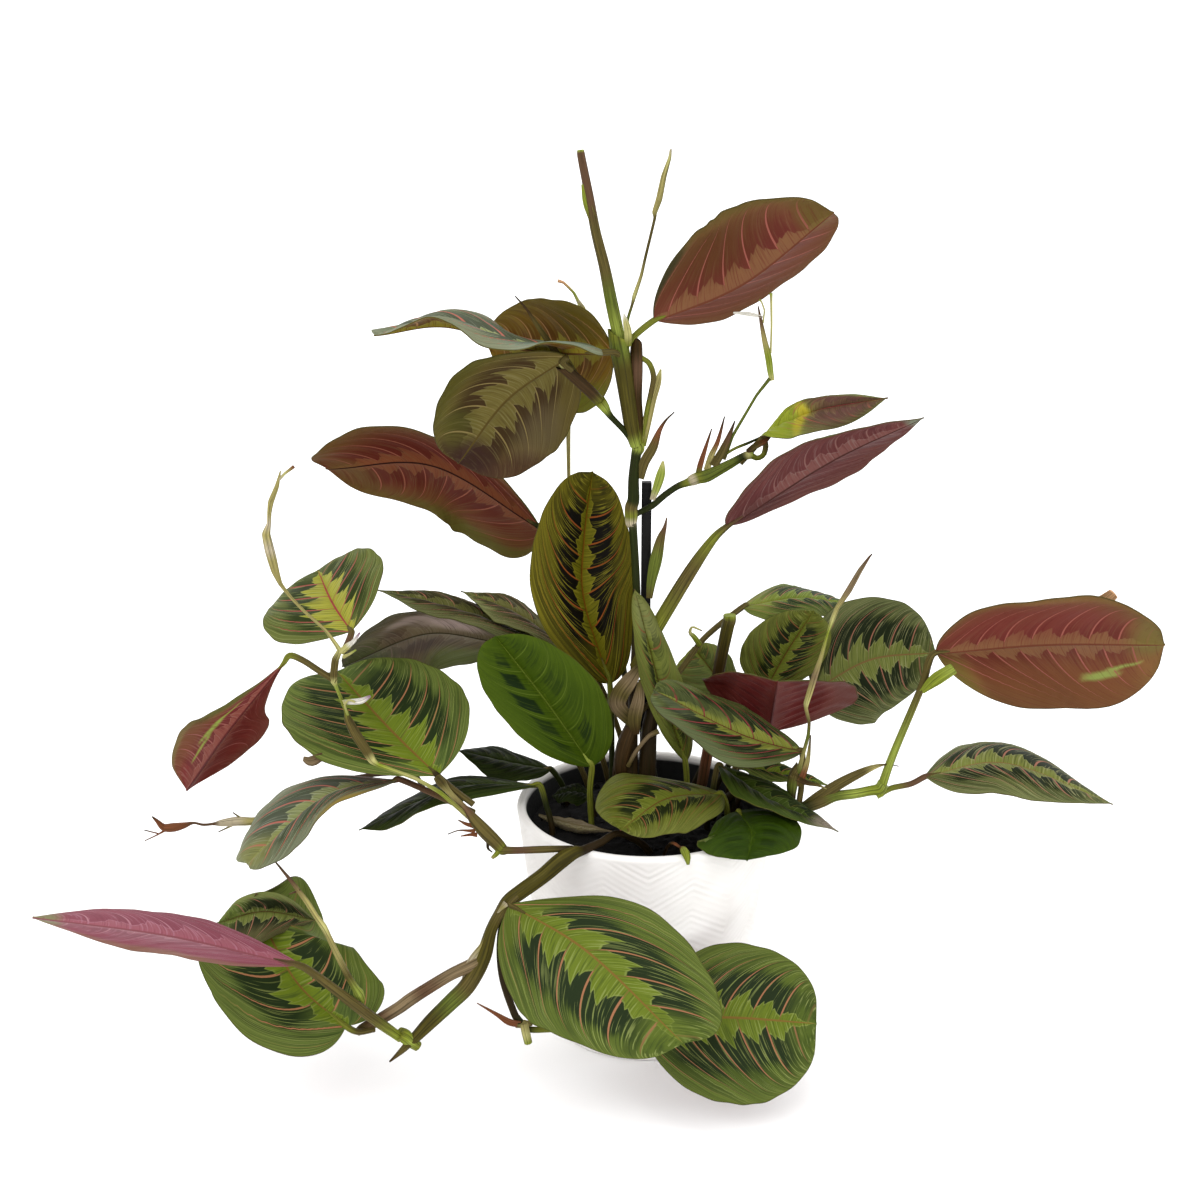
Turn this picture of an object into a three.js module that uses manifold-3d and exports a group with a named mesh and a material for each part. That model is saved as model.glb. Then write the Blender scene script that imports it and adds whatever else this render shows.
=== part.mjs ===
// A prayer plant in a white pot: a round tapered pot filled with soil, a thin support stick, a tall main
// stem with side branches, two low stems that hang over the rim, flower stalks, and broad oval leaves.
// Millimetres, +Z up. The origin is the centre of the pot's flat underside, and -Y is the front.
import * as THREE from 'three';
import { mergeVertices } from 'three/addons/utils/BufferGeometryUtils.js';
import Module from 'manifold-3d';

const wasm = await Module();
wasm.setup();

// Pot and soil
const potHeight = 120;
const rimRadius = 65;
const baseRadius = 50;
const potWall = 4.5;
const floorThickness = 6;
const footEdge = 1.5;
const potSides = 40;
const soilEdgeHeight = 106;
const soilMound = 3;
const halfwayMound = 0.7;
const soilFootEdge = 1;
const rootDepth = 85;
const potLean = (rimRadius - baseRadius) / potHeight;

// Support stick
const stickWidth = 4.8;
const stickTop = 284;
const stickPlace = [-0.5, 9];

// Gap between neighbours that touch
const gap = 0.3;

// Leaf blades
const bladeThickness = 0.8;
const bladeSteps = 8;
const bladeStrips = 4;
const usualWidest = 0.45;
const narrowestShare = 0.05;
const usualBlunt = 0.52;
const archHeight = 2.4;
const waveHeight = 1.6;
const waveCount = 2.2;
const waveSlant = 0.3;
const waveShift = 0.013;
const slopeStep = 0.02;

// Stems
const stemSides = 6;
const leafStemSides = 4;
const leafStemRadius = 1.5;
const stemOverlap = 0.08;
const stemTaper = 2;

const colours = {
  pot: '#f1efec',
  soil: '#15110f',
  stick: '#131313',
  green: '#55702c',
  olive: '#6f7430',
  dark: '#33462a',
  red: '#6b3330',
  mauve: '#8c4f5e',
  stem: '#6c6f3c',
  brown: '#6b5138',
  straw: '#a8a060',
};

const roughness = { pot: 0.7, soil: 1, stick: 0.5, stem: 0.6, leaf: 0.5 };

// Leaves: rib runs along the midrib from base to tip. left and right are the widest places on the two
// edges as seen from the upper face. stem is the leaf stem from its root to the blade, with its radius
// where it isn't the usual one, and on is the stem that it grows from, where that isn't in the soil.
// widest is the share of the midrib at the widest place, blunt shapes the outline, from 0.5 for round
// ends to 1 for pointed ones, and twist turns the blade about its midrib.
const leaves = {
  leaf_top_right: {
    rib: [[2, 2, 363], [43, 4, 380], [81, -5, 412]],
    left: [55, 30, 368],
    right: [25, -24, 412],
    stem: [[-12, 0, 350], [-6, 0, 357]],
    on: 'main_stem',
    colour: 'red',
  },
  leaf_upper_left: {
    rib: [[-23, -14, 351], [-74, -6, 358], [-124, -8, 359]],
    left: [-65, -34, 355],
    right: [-80, 22, 361],
    stem: [[-12, 0, 346], [-17, -8, 350]],
    on: 'main_stem',
    colour: 'green',
  },
  leaf_behind_top: {
    rib: [[-17, 8, 347], [-46, 30, 343], [-78, 55, 342]],
    left: [-49, 6, 373],
    right: [-40, 44, 309],
    stem: [[-11, 0, 338], [-13, 5, 344]],
    on: 'main_stem',
    colour: 'olive',
  },
  leaf_round: {
    rib: [[-38, -18, 348], [-66, 2, 325], [-88, 18, 295]],
    left: [-88, -20, 342],
    right: [-43, 26, 298],
    stem: [[-36, -14, 343], [-40, -17, 347]],
    on: 'main_stem',
    colour: 'olive',
  },
  leaf_left_red: {
    rib: [[-58, 58, 246], [-110, 62, 279], [-164, 66, 276]],
    left: [-121, 44, 304],
    right: [-101, 84, 238],
    stem: [[-7, 0, 156], [-9, 20, 164], [-14, 40, 190], [-36, 56, 226]],
    on: 'main_stem',
    colour: 'red',
  },
  leaf_centre: {
    rib: [[-18, 14, 178], [-31, 18, 221], [-31, 24, 250], [-27, 34, 281]],
    left: [-57, 6, 243],
    right: [-6, 18, 234],
    stem: [[-17, 10, rootDepth], [-17, 10, 110], [-17, 12, 150]],
    colour: 'olive',
  },
  leaf_green_plain: {
    rib: [[-27, -14, 145], [-49, -14, 179], [-73, -6, 209]],
    left: [-71, -28, 178],
    right: [-24, -16, 189],
    stem: [[-26, -9, rootDepth], [-27, -10, 108], [-28, -12, 130]],
    colour: 'green',
  },
  leaf_left_striped: {
    rib: [[-100, -46, 154], [-125, -20, 167], [-155, 18, 182]],
    left: [-171, -30, 166],
    right: [-93, -2, 184],
    stem: [[-83, -52, 142], [-92, -49, 148]],
    on: 'left_stem',
    colour: 'green',
  },
  leaf_far_left: {
    rib: [[-136, -58, 231], [-148, -34, 237], [-159, -2, 242]],
    left: [-178, -44, 227],
    right: [-125, -30, 258],
    stem: [[-139, -64, 224], [-137, -61, 228]],
    on: 'flower_stalk_left',
    colour: 'green',
  },
  leaf_hanging_red: {
    rib: [[-169, -62, 218], [-192, -74, 190], [-214, -66, 157]],
    left: [-217, -54, 182],
    right: [-183, -50, 183],
    stem: [[-143, -66, 210], [-155, -64, 219], [-163, -62, 222]],
    on: 'flower_stalk_left',
    colour: 'mauve',
    widest: 0.58,
  },
  leaf_purple_grey: {
    rib: [[-74, 30, 195], [-112, 34, 198], [-155, 40, 178]],
    left: [-114, 18, 215],
    right: [-113, 54, 166],
    stem: [[-26, 20, rootDepth], [-27, 21, 110], [-36, 23, 135], [-54, 27, 168]],
    colour: 'mauve',
  },
  leaf_folded_left: {
    rib: [[-47, 26, 193], [-90, 22, 213], [-133, 18, 226]],
    left: [-91, 6, 212],
    right: [-91, 40, 213],
    stem: [[-16, 24, rootDepth], [-17, 25, 110], [-24, 27, 140], [-36, 28, 172]],
    colour: 'dark',
    blunt: 1,
  },
  leaf_folded_middle: {
    rib: [[-31, 28, 184], [-63, 28, 209], [-91, 24, 223]],
    left: [-69, 14, 209],
    right: [-66, 44, 211],
    stem: [[-7, 30, rootDepth], [-7, 31, 110], [-12, 33, 140], [-22, 32, 168]],
    colour: 'dark',
    blunt: 1,
  },
  leaf_low_striped: {
    rib: [[-120, -30, 145], [-155, -40, 141], [-190, -56, 114]],
    left: [-162, -64, 131],
    right: [-192, -10, 118],
    stem: [[-83, -52, 138], [-90, -47, 139], [-106, -37, 142]],
    on: 'left_stem',
    colour: 'green',
    widest: 0.6,
  },
  leaf_dark_low: {
    rib: [[-53, -6, 131], [-95, -12, 132], [-141, -20, 114]],
    left: [-106, -30, 129],
    right: [-110, 8, 124],
    stem: [[-46, -12, rootDepth], [-47, -12, 110], [-50, -9, 122]],
    colour: 'dark',
    blunt: 0.9,
  },
  leaf_dark_rim: {
    rib: [[-48, 20, 128], [-69, 18, 133], [-94, 16, 140]],
    left: [-71, 4, 128],
    right: [-75, 36, 132],
    stem: [[-39, 24, rootDepth], [-40, 23, 108], [-43, 21, 120]],
    colour: 'dark',
    blunt: 0.8,
  },
  leaf_rolled_pink: {
    rib: [[-156, -128, 100], [-210, -134, 118], [-270, -126, 122]],
    left: [-215, -112, 117],
    right: [-220, -108, 93],
    stem: [[-116, -101, 46], [-130, -112, 66], [-150, -124, 93]],
    on: 'left_stem',
    colour: 'mauve',
    blunt: 0.8,
  },
  leaf_rolled_tip: {
    rib: [[-140, -106, 55], [-164, -88, 66], [-182, -66, 83], [-187, -58, 96], [-185, -70, 104]],
    left: [-201, -98, 64],
    right: [-135, -78, 74],
    stem: [[-128, -100, 50], [-135, -104, 51]],
    on: 'left_stem',
    colour: 'green',
  },
  leaf_front: {
    rib: [[-65, -78, 103], [-28, -112, 97], [13, -132, 64]],
    left: [13, -114, 108],
    right: [-55, -120, 67],
    stem: [[-58, -74, 108], [-62, -76, 106]],
    on: 'left_stem',
    colour: 'green',
  },
  leaf_lower_right: {
    rib: [[-4, -82, 43], [36, -90, 50], [77, -92, 48]],
    left: [42, -66, 76],
    right: [41, -112, 17],
    stem: [[-58, -86, 41], [-49, -86, 41], [-23, -84, 42]],
    on: 'left_stem',
    colour: 'green',
  },
  leaf_rim: {
    rib: [[37, -18, 132], [4, -36, 140], [-12, -57, 132]],
    left: [20, -54, 130],
    right: [-17, -16, 139],
    stem: [[40, -12, rootDepth], [41, -12, 110], [40, -16, 124]],
    colour: 'olive',
  },
  leaf_right_plain: {
    rib: [[45, -26, 126], [50, -44, 124], [47, -60, 118]],
    left: [74, -30, 121],
    right: [25, -62, 127],
    stem: [[46, -20, rootDepth], [46, -21, 108], [45, -23, 118]],
    colour: 'green',
  },
  leaf_back_far: {
    rib: [[50, 42, 209], [81, 66, 206], [110, 88, 195]],
    left: [84, 94, 203],
    right: [82, 54, 199],
    stem: [[-6, 0, 165], [6, 4, 176], [18, 12, 187], [30, 24, 199]],
    on: 'main_stem',
    colour: 'dark',
  },
  leaf_back_right: {
    rib: [[88, 42, 163], [118, 48, 178], [152, 56, 179]],
    left: [107, 58, 207],
    right: [122, 42, 146],
    stem: [[43, 28, rootDepth], [44, 28, 112], [51, 32, 127], [74, 40, 150]],
    on: 'right_stem',
    colour: 'green',
  },
  leaf_back_middle: {
    rib: [[62, 30, 168], [72, 36, 185], [86, 44, 205]],
    left: [51, 36, 193],
    right: [92, 34, 183],
    stem: [[36, 26, rootDepth], [37, 27, 112], [46, 30, 130], [57, 31, 152]],
    colour: 'olive',
  },
  leaf_back_small: {
    rib: [[47, 32, 159], [35, 36, 176], [26, 42, 186]],
    left: [17, 28, 169],
    right: [43, 40, 184],
    stem: [[24, 32, rootDepth], [25, 32, 110], [37, 32, 138]],
    colour: 'green',
  },
  leaf_red_arched: {
    rib: [[64, 24, 147], [64, 8, 168], [63, -16, 190]],
    left: [106, 8, 174],
    right: [28, 6, 183],
    stem: [[46, 14, rootDepth], [48, 15, 112], [58, 20, 130]],
    colour: 'mauve',
  },
  leaf_right_striped: {
    rib: [[78, -4, 148], [46, -16, 163], [4, -28, 190]],
    left: [32, -44, 163],
    right: [40, -4, 176],
    stem: [[77, -7, 122], [78, -6, 132]],
    on: 'right_stem',
    colour: 'dark',
  },
  leaf_narrow_centre: {
    rib: [[20, 0, 141], [7, -6, 182], [-6, -10, 234]],
    left: [0, -7, 177],
    right: [21, 2, 174],
    stem: [[20, -1, rootDepth], [21, -1, 110], [21, 0, 128]],
    colour: 'olive',
    blunt: 0.9,
  },
  leaf_far_right: {
    rib: [[141, -6, 202], [193, -10, 208], [248, -14, 209]],
    left: [210, 16, 162],
    right: [185, -34, 240],
    stem: [[117, -6, 126], [123, -6, 148], [135, -6, 184], [138, -6, 198]],
    on: 'right_stem',
    colour: 'red',
  },
  leaf_right_pointed: {
    rib: [[140, -4, 135], [179, -8, 144], [230, -16, 126]],
    left: [176, 26, 142],
    right: [171, -34, 138],
    stem: [[116, -6, 125], [123, -5, 129], [133, -4, 131]],
    on: 'right_stem',
    colour: 'green',
    blunt: 0.9,
  },
  leaf_twisted: {
    rib: [[54, 6, 306], [78, 2, 320], [110, -2, 327]],
    left: [72, 8, 323],
    right: [70, -14, 312],
    stem: [[44, 6, 294], [50, 6, 301]],
    on: 'main_stem',
    colour: 'mauve',
    blunt: 0.8,
    twist: 1.4,
  },
  leaf_narrow_mauve: {
    rib: [[38, -2, 265], [85, -6, 298], [126, -10, 319]],
    left: [96, 16, 285],
    right: [63, -22, 305],
    stem: [[-6, 0, 192, 2.6], [4, -1, 212, 3.4], [20, -2, 241, 3.2], [31, -2, 258, 2.2]],
    on: 'main_stem',
    colour: 'mauve',
    blunt: 1,
  },
  leaf_striped_long: {
    rib: [[36, -6, 142], [61, -22, 130], [92, -32, 119]],
    left: [68, -8, 129],
    right: [47, -34, 136],
    stem: [[30, -8, rootDepth], [31, -8, 110], [34, -7, 132]],
    colour: 'dark',
    blunt: 1,
  },
  leaf_striped_upper: {
    rib: [[46, 8, 135], [69, 8, 130], [92, 8, 125]],
    left: [70, 18, 131],
    right: [65, 0, 130],
    stem: [[45, 3, rootDepth], [45, 3, 110], [44, 6, 126]],
    colour: 'dark',
    blunt: 0.9,
  },
  leaf_pot_small: {
    rib: [[-28, 12, 117], [-37, 11, 119], [-46, 12, 117]],
    left: [-37, 2, 117],
    right: [-37, 19, 119],
    stem: [[-25, 6, rootDepth], [-26, 8, 110]],
    colour: 'dark',
  },
  dry_bract: {
    rib: [[-54, 1, 111], [-37, -10, 111], [-18, -25, 115]],
    left: [-37, -15, 112],
    right: [-37, -4, 112],
    colour: 'mauve',
    blunt: 1,
  },
};

// Stems: each strand is a list of places with the stem's radius there, and on names what it grows from.
const stems = {
  main_stem: {
    colour: 'stem',
    strands: {
      stalk: [
        [-8, 0, rootDepth, 4], [-8, 0, 120, 4.5], [-7, 0, 150, 4], [-5, 1, 190, 2.4], [-6, 0, 233, 2.4],
        [-8, 0, 266, 3], [-5, 0, 301, 4], [-8, 0, 326, 5.2], [-12, 0, 352, 3.6], [-16, 0, 373, 2.6],
        [-23, 0, 400, 2.4], [-28, 0, 418, 2], [-32, 0, 440, 0.9],
      ],
      left_branch: [
        [-4, 0, 300, 2], [-12, -4, 313, 1.8], [-19, -8, 325, 2.6], [-30, -12, 336, 3.2],
        [-41, -16, 347, 1.6],
      ],
      left_spike: [[-30, -12, 336, 1.8], [-46, -18, 353, 1.6], [-61, -22, 378, 0.5]],
      right_branch: [
        [-7, 0, 266, 1.8], [2, 2, 275, 1.5], [12, 4, 281, 1.8], [22, 5, 287, 3.4], [34, 6, 291, 2],
        [48, 6, 297, 1.5],
      ],
      right_bract_left: [[20, 5, 286, 2.2], [26, 6, 300, 1.8], [31, 6, 313, 0.5]],
      right_bract_right: [[22, 5, 287, 2.2], [32, 7, 300, 1.8], [37, 7, 317, 0.5]],
      right_sheath: [[-3, 2, 286, 2], [3, 3, 308, 2.4], [5, 3, 328, 1.8], [5, 3, 341, 0.6]],
      pointed_bract: [[-4, 0, 276, 2], [4, 1, 298, 2.2], [11, 1, 320, 0.5]],
      low_bract: [[-5, 0, 222, 2], [4, -1, 243, 2.2], [7, -1, 268, 0.5]],
      papery_sheath: [[-9, 0, 150, 3.4], [-16, -1, 172, 3.6], [-12, -1, 186, 1]],
    },
  },
  cut_stem: {
    colour: 'brown',
    strands: {
      stalk: [
        [27, 14, rootDepth, 2.4], [28, 14, 112, 2.6], [34, 20, 150, 3], [37, 22, 180, 3], [42, 21, 212, 3.2],
      ],
    },
  },
  left_stem: {
    colour: 'stem',
    strands: {
      runner: [
        [2, -30, rootDepth, 2], [1, -34, 108, 2], [-6, -44, 121, 2.2], [-12, -50, 127, 2.2],
        [-23, -58, 127, 2.4], [-36, -66, 125, 3], [-51, -72, 115, 5], [-64, -76, 103, 4.2],
        [-79, -84, 82, 4.6], [-98, -92, 61, 5], [-112, -98, 48, 3.6], [-124, -104, 30, 0.7],
      ],
      upper: [
        [-34, -65, 125, 2], [-51, -62, 124, 1.8], [-68, -60, 123, 2], [-75, -56, 131, 4], [-83, -52, 142, 3],
      ],
      red_bract: [[-75, -56, 131, 2], [-80, -58, 141, 1.6], [-81, -58, 150, 0.5]],
      second: [[-79, -84, 82, 3], [-92, -90, 66, 3.6], [-110, -96, 56, 3], [-128, -100, 50, 2]],
      down: [[-60, -74, 103, 2], [-68, -80, 75, 1.8], [-64, -86, 47, 2], [-57, -86, 41, 2.6]],
      low_bract: [[-57, -86, 41, 2], [-68, -87, 47, 1.6], [-82, -86, 55, 0.5]],
      stub: [[-57, -86, 41, 2.2], [-56, -87, 34, 2]],
      green_node: [[-112, -98, 48, 3], [-117, -101, 47, 3.6]],
    },
  },
  right_stem: {
    colour: 'green',
    strands: {
      stalk: [
        [32, 4, rootDepth, 2.2], [34, 4, 108, 2.2], [46, 1, 124, 2.2], [60, -4, 126, 2.2],
        [77, -8, 121, 3], [97, -8, 124, 2.6], [116, -6, 127, 3], [121, -6, 128, 3.4],
      ],
      sheath: [[77, -8, 121, 2.6], [96, -8, 133, 3], [119, -7, 141, 0.6]],
      upright: [[77, -8, 121, 3], [78, -8, 130, 3], [79, -8, 141, 3.2]],
    },
  },
  flower_stalk_left: {
    colour: 'straw',
    on: ['left_stem'],
    strands: {
      stalk: [
        [-81, -54, 138, 1.6], [-88, -60, 143, 1.4], [-109, -64, 160, 1.3], [-128, -68, 173, 2.2],
        [-140, -68, 192, 1.6], [-144, -66, 211, 2.2], [-139, -64, 225, 2.4], [-153, -64, 242, 1.2],
        [-166, -64, 257, 1.4], [-171, -64, 272, 2.6], [-171, -64, 286, 1.3], [-168, -64, 299, 1.8],
        [-163, -64, 308, 1.4], [-159, -64, 310, 0.6],
      ],
      flower: [[-142, -68, 197, 1.2], [-133, -70, 200, 2], [-125, -70, 200, 1.4]],
    },
  },
  flower_stalk_top: {
    colour: 'straw',
    on: ['main_stem'],
    strands: {
      stalk: [
        [-11, 2, 350, 1.2], [-10, 5, 365, 1.4], [-6, 5, 381, 1.2], [2, 5, 411, 2], [7, 5, 434, 1.8],
        [10, 5, 441, 0.6],
      ],
    },
  },
  flower_stalk_right: {
    colour: 'straw',
    on: ['main_stem'],
    strands: {
      stalk: [
        [33, 6, 290, 1.2], [39, 6, 310, 1.3], [57, 6, 335, 1.2], [58, 6, 349, 1.9], [57, 6, 375, 0.6],
      ],
      second_spike: [[58, 6, 350, 1.4], [51, 6, 368, 0.6]],
    },
  },
  flower_stalk_far_right: {
    colour: 'straw',
    on: ['right_stem'],
    strands: {
      stalk: [
        [78, -9, 132, 1.4], [81, -18, 146, 1.6], [78, -20, 160, 1.4], [78, -20, 182, 1.6],
        [88, -19, 225, 1.8], [105, -18, 254, 0.6],
      ],
    },
  },
  flower_stalk_back: {
    colour: 'straw',
    on: ['leaf_left_red'],
    strands: {
      stalk: [
        [-34, 55, 224, 1.2], [-39, 62, 244, 1.2], [-39, 64, 271, 1.2], [-39, 64, 300, 1.3],
        [-35, 66, 327, 1.6], [-32, 66, 355, 1.8], [-34, 66, 364, 1.3], [-43, 66, 372, 0.6],
      ],
    },
  },
  dried_stalk: {
    colour: 'brown',
    on: ['leaf_low_striped'],
    strands: {
      stalk: [
        [-108, -36, 143, 1.1], [-118, -16, 142, 1.2], [-153, 8, 128, 1.2], [-180, 6, 118, 2.8],
        [-196, 4, 114, 2], [-217, 2, 111, 1.2], [-234, 2, 108, 2.6], [-246, 0, 105, 1.8],
        [-250, 0, 112, 0.6],
      ],
    },
  },
  flower_stalk_low: {
    colour: 'straw',
    on: ['leaf_rolled_pink'],
    strands: {
      stalk: [[-128, -110, 63, 1.4], [-132, -117, 77, 2], [-149, -114, 112, 1.3], [-167, -106, 138, 0.7]],
    },
  },
};

// Solids

function toSolid(geometry) {
  const bare = geometry.clone();
  bare.deleteAttribute('normal');
  bare.deleteAttribute('uv');
  const merged = mergeVertices(bare, 1e-4);
  return new wasm.Manifold(new wasm.Mesh({
    numProp: 3,
    vertProperties: new Float32Array(merged.attributes.position.array),
    triVerts: new Uint32Array(merged.index.array),
  }));
}

function toGeometry(solid) {
  const mesh = solid.getMesh();
  const geometry = new THREE.BufferGeometry();
  const places = new Float32Array(mesh.numVert * 3);
  for (let i = 0; i < mesh.numVert; i += 1) {
    for (let k = 0; k < 3; k += 1) {
      places[3 * i + k] = mesh.vertProperties[i * mesh.numProp + k];
    }
  }
  geometry.setAttribute('position', new THREE.BufferAttribute(places, 3));
  geometry.setIndex(new THREE.BufferAttribute(new Uint32Array(mesh.triVerts), 1));
  geometry.computeVertexNormals();
  return geometry;
}

function joined(solids) {
  return solids.reduce((sum, solid) => sum.add(solid));
}

// The body of a solid that is left in several pieces is its largest one.
function largest(solid) {
  const pieces = solid.decompose();
  return pieces.reduce((best, piece) => (piece.volume() > best.volume() ? piece : best));
}

function closedGrid(rings, ends) {
  // Rings of equal length are skinned one to the next, and closed by a fan at each end.
  const places = rings.flat().concat(ends);
  const count = rings[0].length;
  const faces = [];
  for (let i = 0; i + 1 < rings.length; i += 1) {
    for (let j = 0; j < count; j += 1) {
      const a = i * count + j;
      const b = i * count + (j + 1) % count;
      faces.push(a, b, a + count, b, b + count, a + count);
    }
  }
  const first = rings.length * count;
  const lastRing = (rings.length - 1) * count;
  for (let j = 0; j < count; j += 1) {
    const next = (j + 1) % count;
    faces.push(first, next, j);
    faces.push(first + 1, lastRing + j, lastRing + next);
  }
  const geometry = new THREE.BufferGeometry();
  geometry.setAttribute('position', new THREE.Float32BufferAttribute(places.flatMap((p) => p.toArray()), 3));
  geometry.setIndex(faces);
  return geometry;
}

// A smooth curve through places in space.
function curveThrough(places) {
  const points = places.map((p) => new THREE.Vector3(p[0], p[1], p[2]));
  return new THREE.CatmullRomCurve3(points, false, 'catmullrom', 0.5);
}

// A stem along its places, with its radius running evenly from one place to the next.
function stemSolid(places, sides, extra = 0) {
  const curve = curveThrough(places);
  const spans = places.length - 1;
  const rings = [];
  let side = new THREE.Vector3(1, 0.2, 0);
  for (let i = 0; i <= spans; i += 1) {
    const t = i / spans;
    const radius = places[i][3] + extra;
    const centre = curve.getPoint(t);
    const along = curve.getTangent(t);
    side = side.clone().addScaledVector(along, -side.dot(along)).normalize();
    const other = along.clone().cross(side);
    const ring = [];
    for (let j = 0; j < sides; j += 1) {
      const angle = (2 * Math.PI * j) / sides;
      ring.push(centre.clone()
        .addScaledVector(side, radius * Math.cos(angle))
        .addScaledVector(other, radius * Math.sin(angle)));
    }
    rings.push(ring);
  }
  const start = curve.getPoint(0).addScaledVector(curve.getTangent(0), -extra);
  const end = curve.getPoint(1).addScaledVector(curve.getTangent(1), extra);
  return toSolid(closedGrid(rings, [start, end]));
}

// Leaf blades

// The upper face at a share t of the way along the midrib and s across, from -1 (left) to 1 (right).
function bladePlace(leaf, curve, t, s) {
  const widestAt = leaf.widest ?? usualWidest;
  const middle = curve.getPoint(widestAt);
  const widestAlong = curve.getTangent(widestAt);
  const along = curve.getTangent(t);
  const turn = new THREE.Quaternion().setFromUnitVectors(widestAlong, along);
  const left = new THREE.Vector3(...leaf.left).sub(middle).applyQuaternion(turn);
  const right = new THREE.Vector3(...leaf.right).sub(middle).applyQuaternion(turn);
  if (leaf.twist) {
    left.applyAxisAngle(along, leaf.twist * (t - widestAt));
    right.applyAxisAngle(along, leaf.twist * (t - widestAt));
  }
  const up = right.clone().sub(left).cross(along).normalize();
  const power = Math.log(0.5) / Math.log(widestAt);
  const outline = Math.sin(Math.PI * t ** power) ** (leaf.blunt ?? usualBlunt);
  const width = Math.max(outline, narrowestShare);
  const place = curve.getPoint(t);
  place.addScaledVector(s < 0 ? left : right, Math.abs(s) * width);
  const arch = archHeight * width * 4 * Math.abs(s) * (1 - Math.abs(s));
  const phase = waveCount * t + waveSlant * s + waveShift * leaf.left[0];
  const wave = waveHeight * width * s * s * Math.sin(2 * Math.PI * phase);
  return place.addScaledVector(up, arch + wave);
}

function bladeSolid(leaf) {
  const curve = curveThrough(leaf.rib);
  const faces = [];
  for (let i = 0; i <= bladeSteps; i += 1) {
    const t = 0.5 - 0.5 * Math.cos((Math.PI * i) / bladeSteps);
    const row = [];
    for (let j = 0; j <= bladeStrips; j += 1) {
      const s = (2 * j) / bladeStrips - 1;
      const place = bladePlace(leaf, curve, t, s);
      const alongT = bladePlace(leaf, curve, Math.min(t + slopeStep, 1), s)
        .sub(bladePlace(leaf, curve, Math.max(t - slopeStep, 0), s));
      const alongS = bladePlace(leaf, curve, t, Math.min(s + slopeStep, 1))
        .sub(bladePlace(leaf, curve, t, Math.max(s - slopeStep, -1)));
      row.push({ place, up: alongS.cross(alongT).normalize() });
    }
    faces.push(row);
  }
  const offset = (point, side) => point.place.clone().addScaledVector(point.up, (side * bladeThickness) / 2);
  const places = [];
  for (const side of [1, -1]) {
    for (const row of faces) {
      for (const point of row) {
        places.push(...offset(point, side).toArray());
      }
    }
  }
  const across = bladeStrips + 1;
  const lower = (bladeSteps + 1) * across;
  const triangles = [];
  const quad = (a, b, c, d) => triangles.push(a, b, c, a, c, d);
  for (let i = 0; i < bladeSteps; i += 1) {
    for (let j = 0; j < bladeStrips; j += 1) {
      const a = i * across + j;
      const b = a + 1;
      const c = b + across;
      const d = a + across;
      quad(a, b, c, d);
      triangles.push(lower + a, lower + c, lower + b, lower + a, lower + d, lower + c);
    }
  }
  const last = bladeSteps * across;
  for (let j = 0; j < bladeStrips; j += 1) {
    quad(j + 1, j, lower + j, lower + j + 1);
    quad(last + j, last + j + 1, lower + last + j + 1, lower + last + j);
  }
  for (let i = 0; i < bladeSteps; i += 1) {
    const a = i * across;
    const b = a + across;
    quad(a, b, lower + b, lower + a);
    quad(b + bladeStrips, a + bladeStrips, lower + a + bladeStrips, lower + b + bladeStrips);
  }
  const geometry = new THREE.BufferGeometry();
  geometry.setAttribute('position', new THREE.Float32BufferAttribute(places, 3));
  geometry.setIndex(triangles);
  return toSolid(geometry);
}

// The leaf stem runs on under the midrib, so that blade and stem are one body.
function leafStemPlaces(leaf) {
  const curve = curveThrough(leaf.rib);
  const radius = (t) => leafStemRadius * (1 - stemTaper * t);
  const base = [0, stemOverlap].map((t) => [...curve.getPoint(t).toArray(), radius(t)]);
  return leaf.stem.map((p) => [p[0], p[1], p[2], p[3] ?? leafStemRadius]).concat(base);
}

// Parts

function potGeometry() {
  const lip = potWall / 2;
  const profile = [
    new THREE.Vector2(0, 0),
    new THREE.Vector2(baseRadius - footEdge, 0),
    new THREE.Vector2(baseRadius, footEdge),
  ];
  for (const angle of [0, 45, 90, 135, 180]) {
    const turn = THREE.MathUtils.degToRad(angle);
    const radius = rimRadius - lip + lip * Math.cos(turn);
    profile.push(new THREE.Vector2(radius, potHeight - lip + lip * Math.sin(turn)));
  }
  profile.push(new THREE.Vector2(baseRadius - potWall + potLean * floorThickness, floorThickness));
  profile.push(new THREE.Vector2(0, floorThickness));
  return new THREE.LatheGeometry(profile, potSides).rotateX(Math.PI / 2);
}

function soilGeometry() {
  const inner = (z) => baseRadius - potWall - 2 * gap + potLean * z;
  const profile = [
    new THREE.Vector2(0, floorThickness + gap),
    new THREE.Vector2(inner(floorThickness) - soilFootEdge, floorThickness + gap),
    new THREE.Vector2(inner(soilEdgeHeight), soilEdgeHeight),
    new THREE.Vector2(rimRadius / 2, soilEdgeHeight + halfwayMound * soilMound),
    new THREE.Vector2(0, soilEdgeHeight + soilMound),
  ];
  return new THREE.LatheGeometry(profile, potSides).rotateX(Math.PI / 2);
}

function stickGeometry(extra = 0) {
  const width = stickWidth + 2 * extra;
  const height = stickTop - rootDepth + 2 * extra;
  const box = new THREE.BoxGeometry(width, width, height);
  return box.translate(stickPlace[0], stickPlace[1], (stickTop + rootDepth) / 2);
}

const group = new THREE.Group();
group.name = 'potted_prayer_plant';

function add(name, geometry, colour, kind) {
  const look = { color: colours[colour], roughness: roughness[kind], metalness: 0 };
  const material = new THREE.MeshStandardMaterial(look);
  const mesh = new THREE.Mesh(geometry, material);
  mesh.name = name;
  group.add(mesh);
}

// Every strand is kept with a slightly thicker copy, which makes room for it in what it touches.
const bodies = {};
const room = {};

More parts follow.
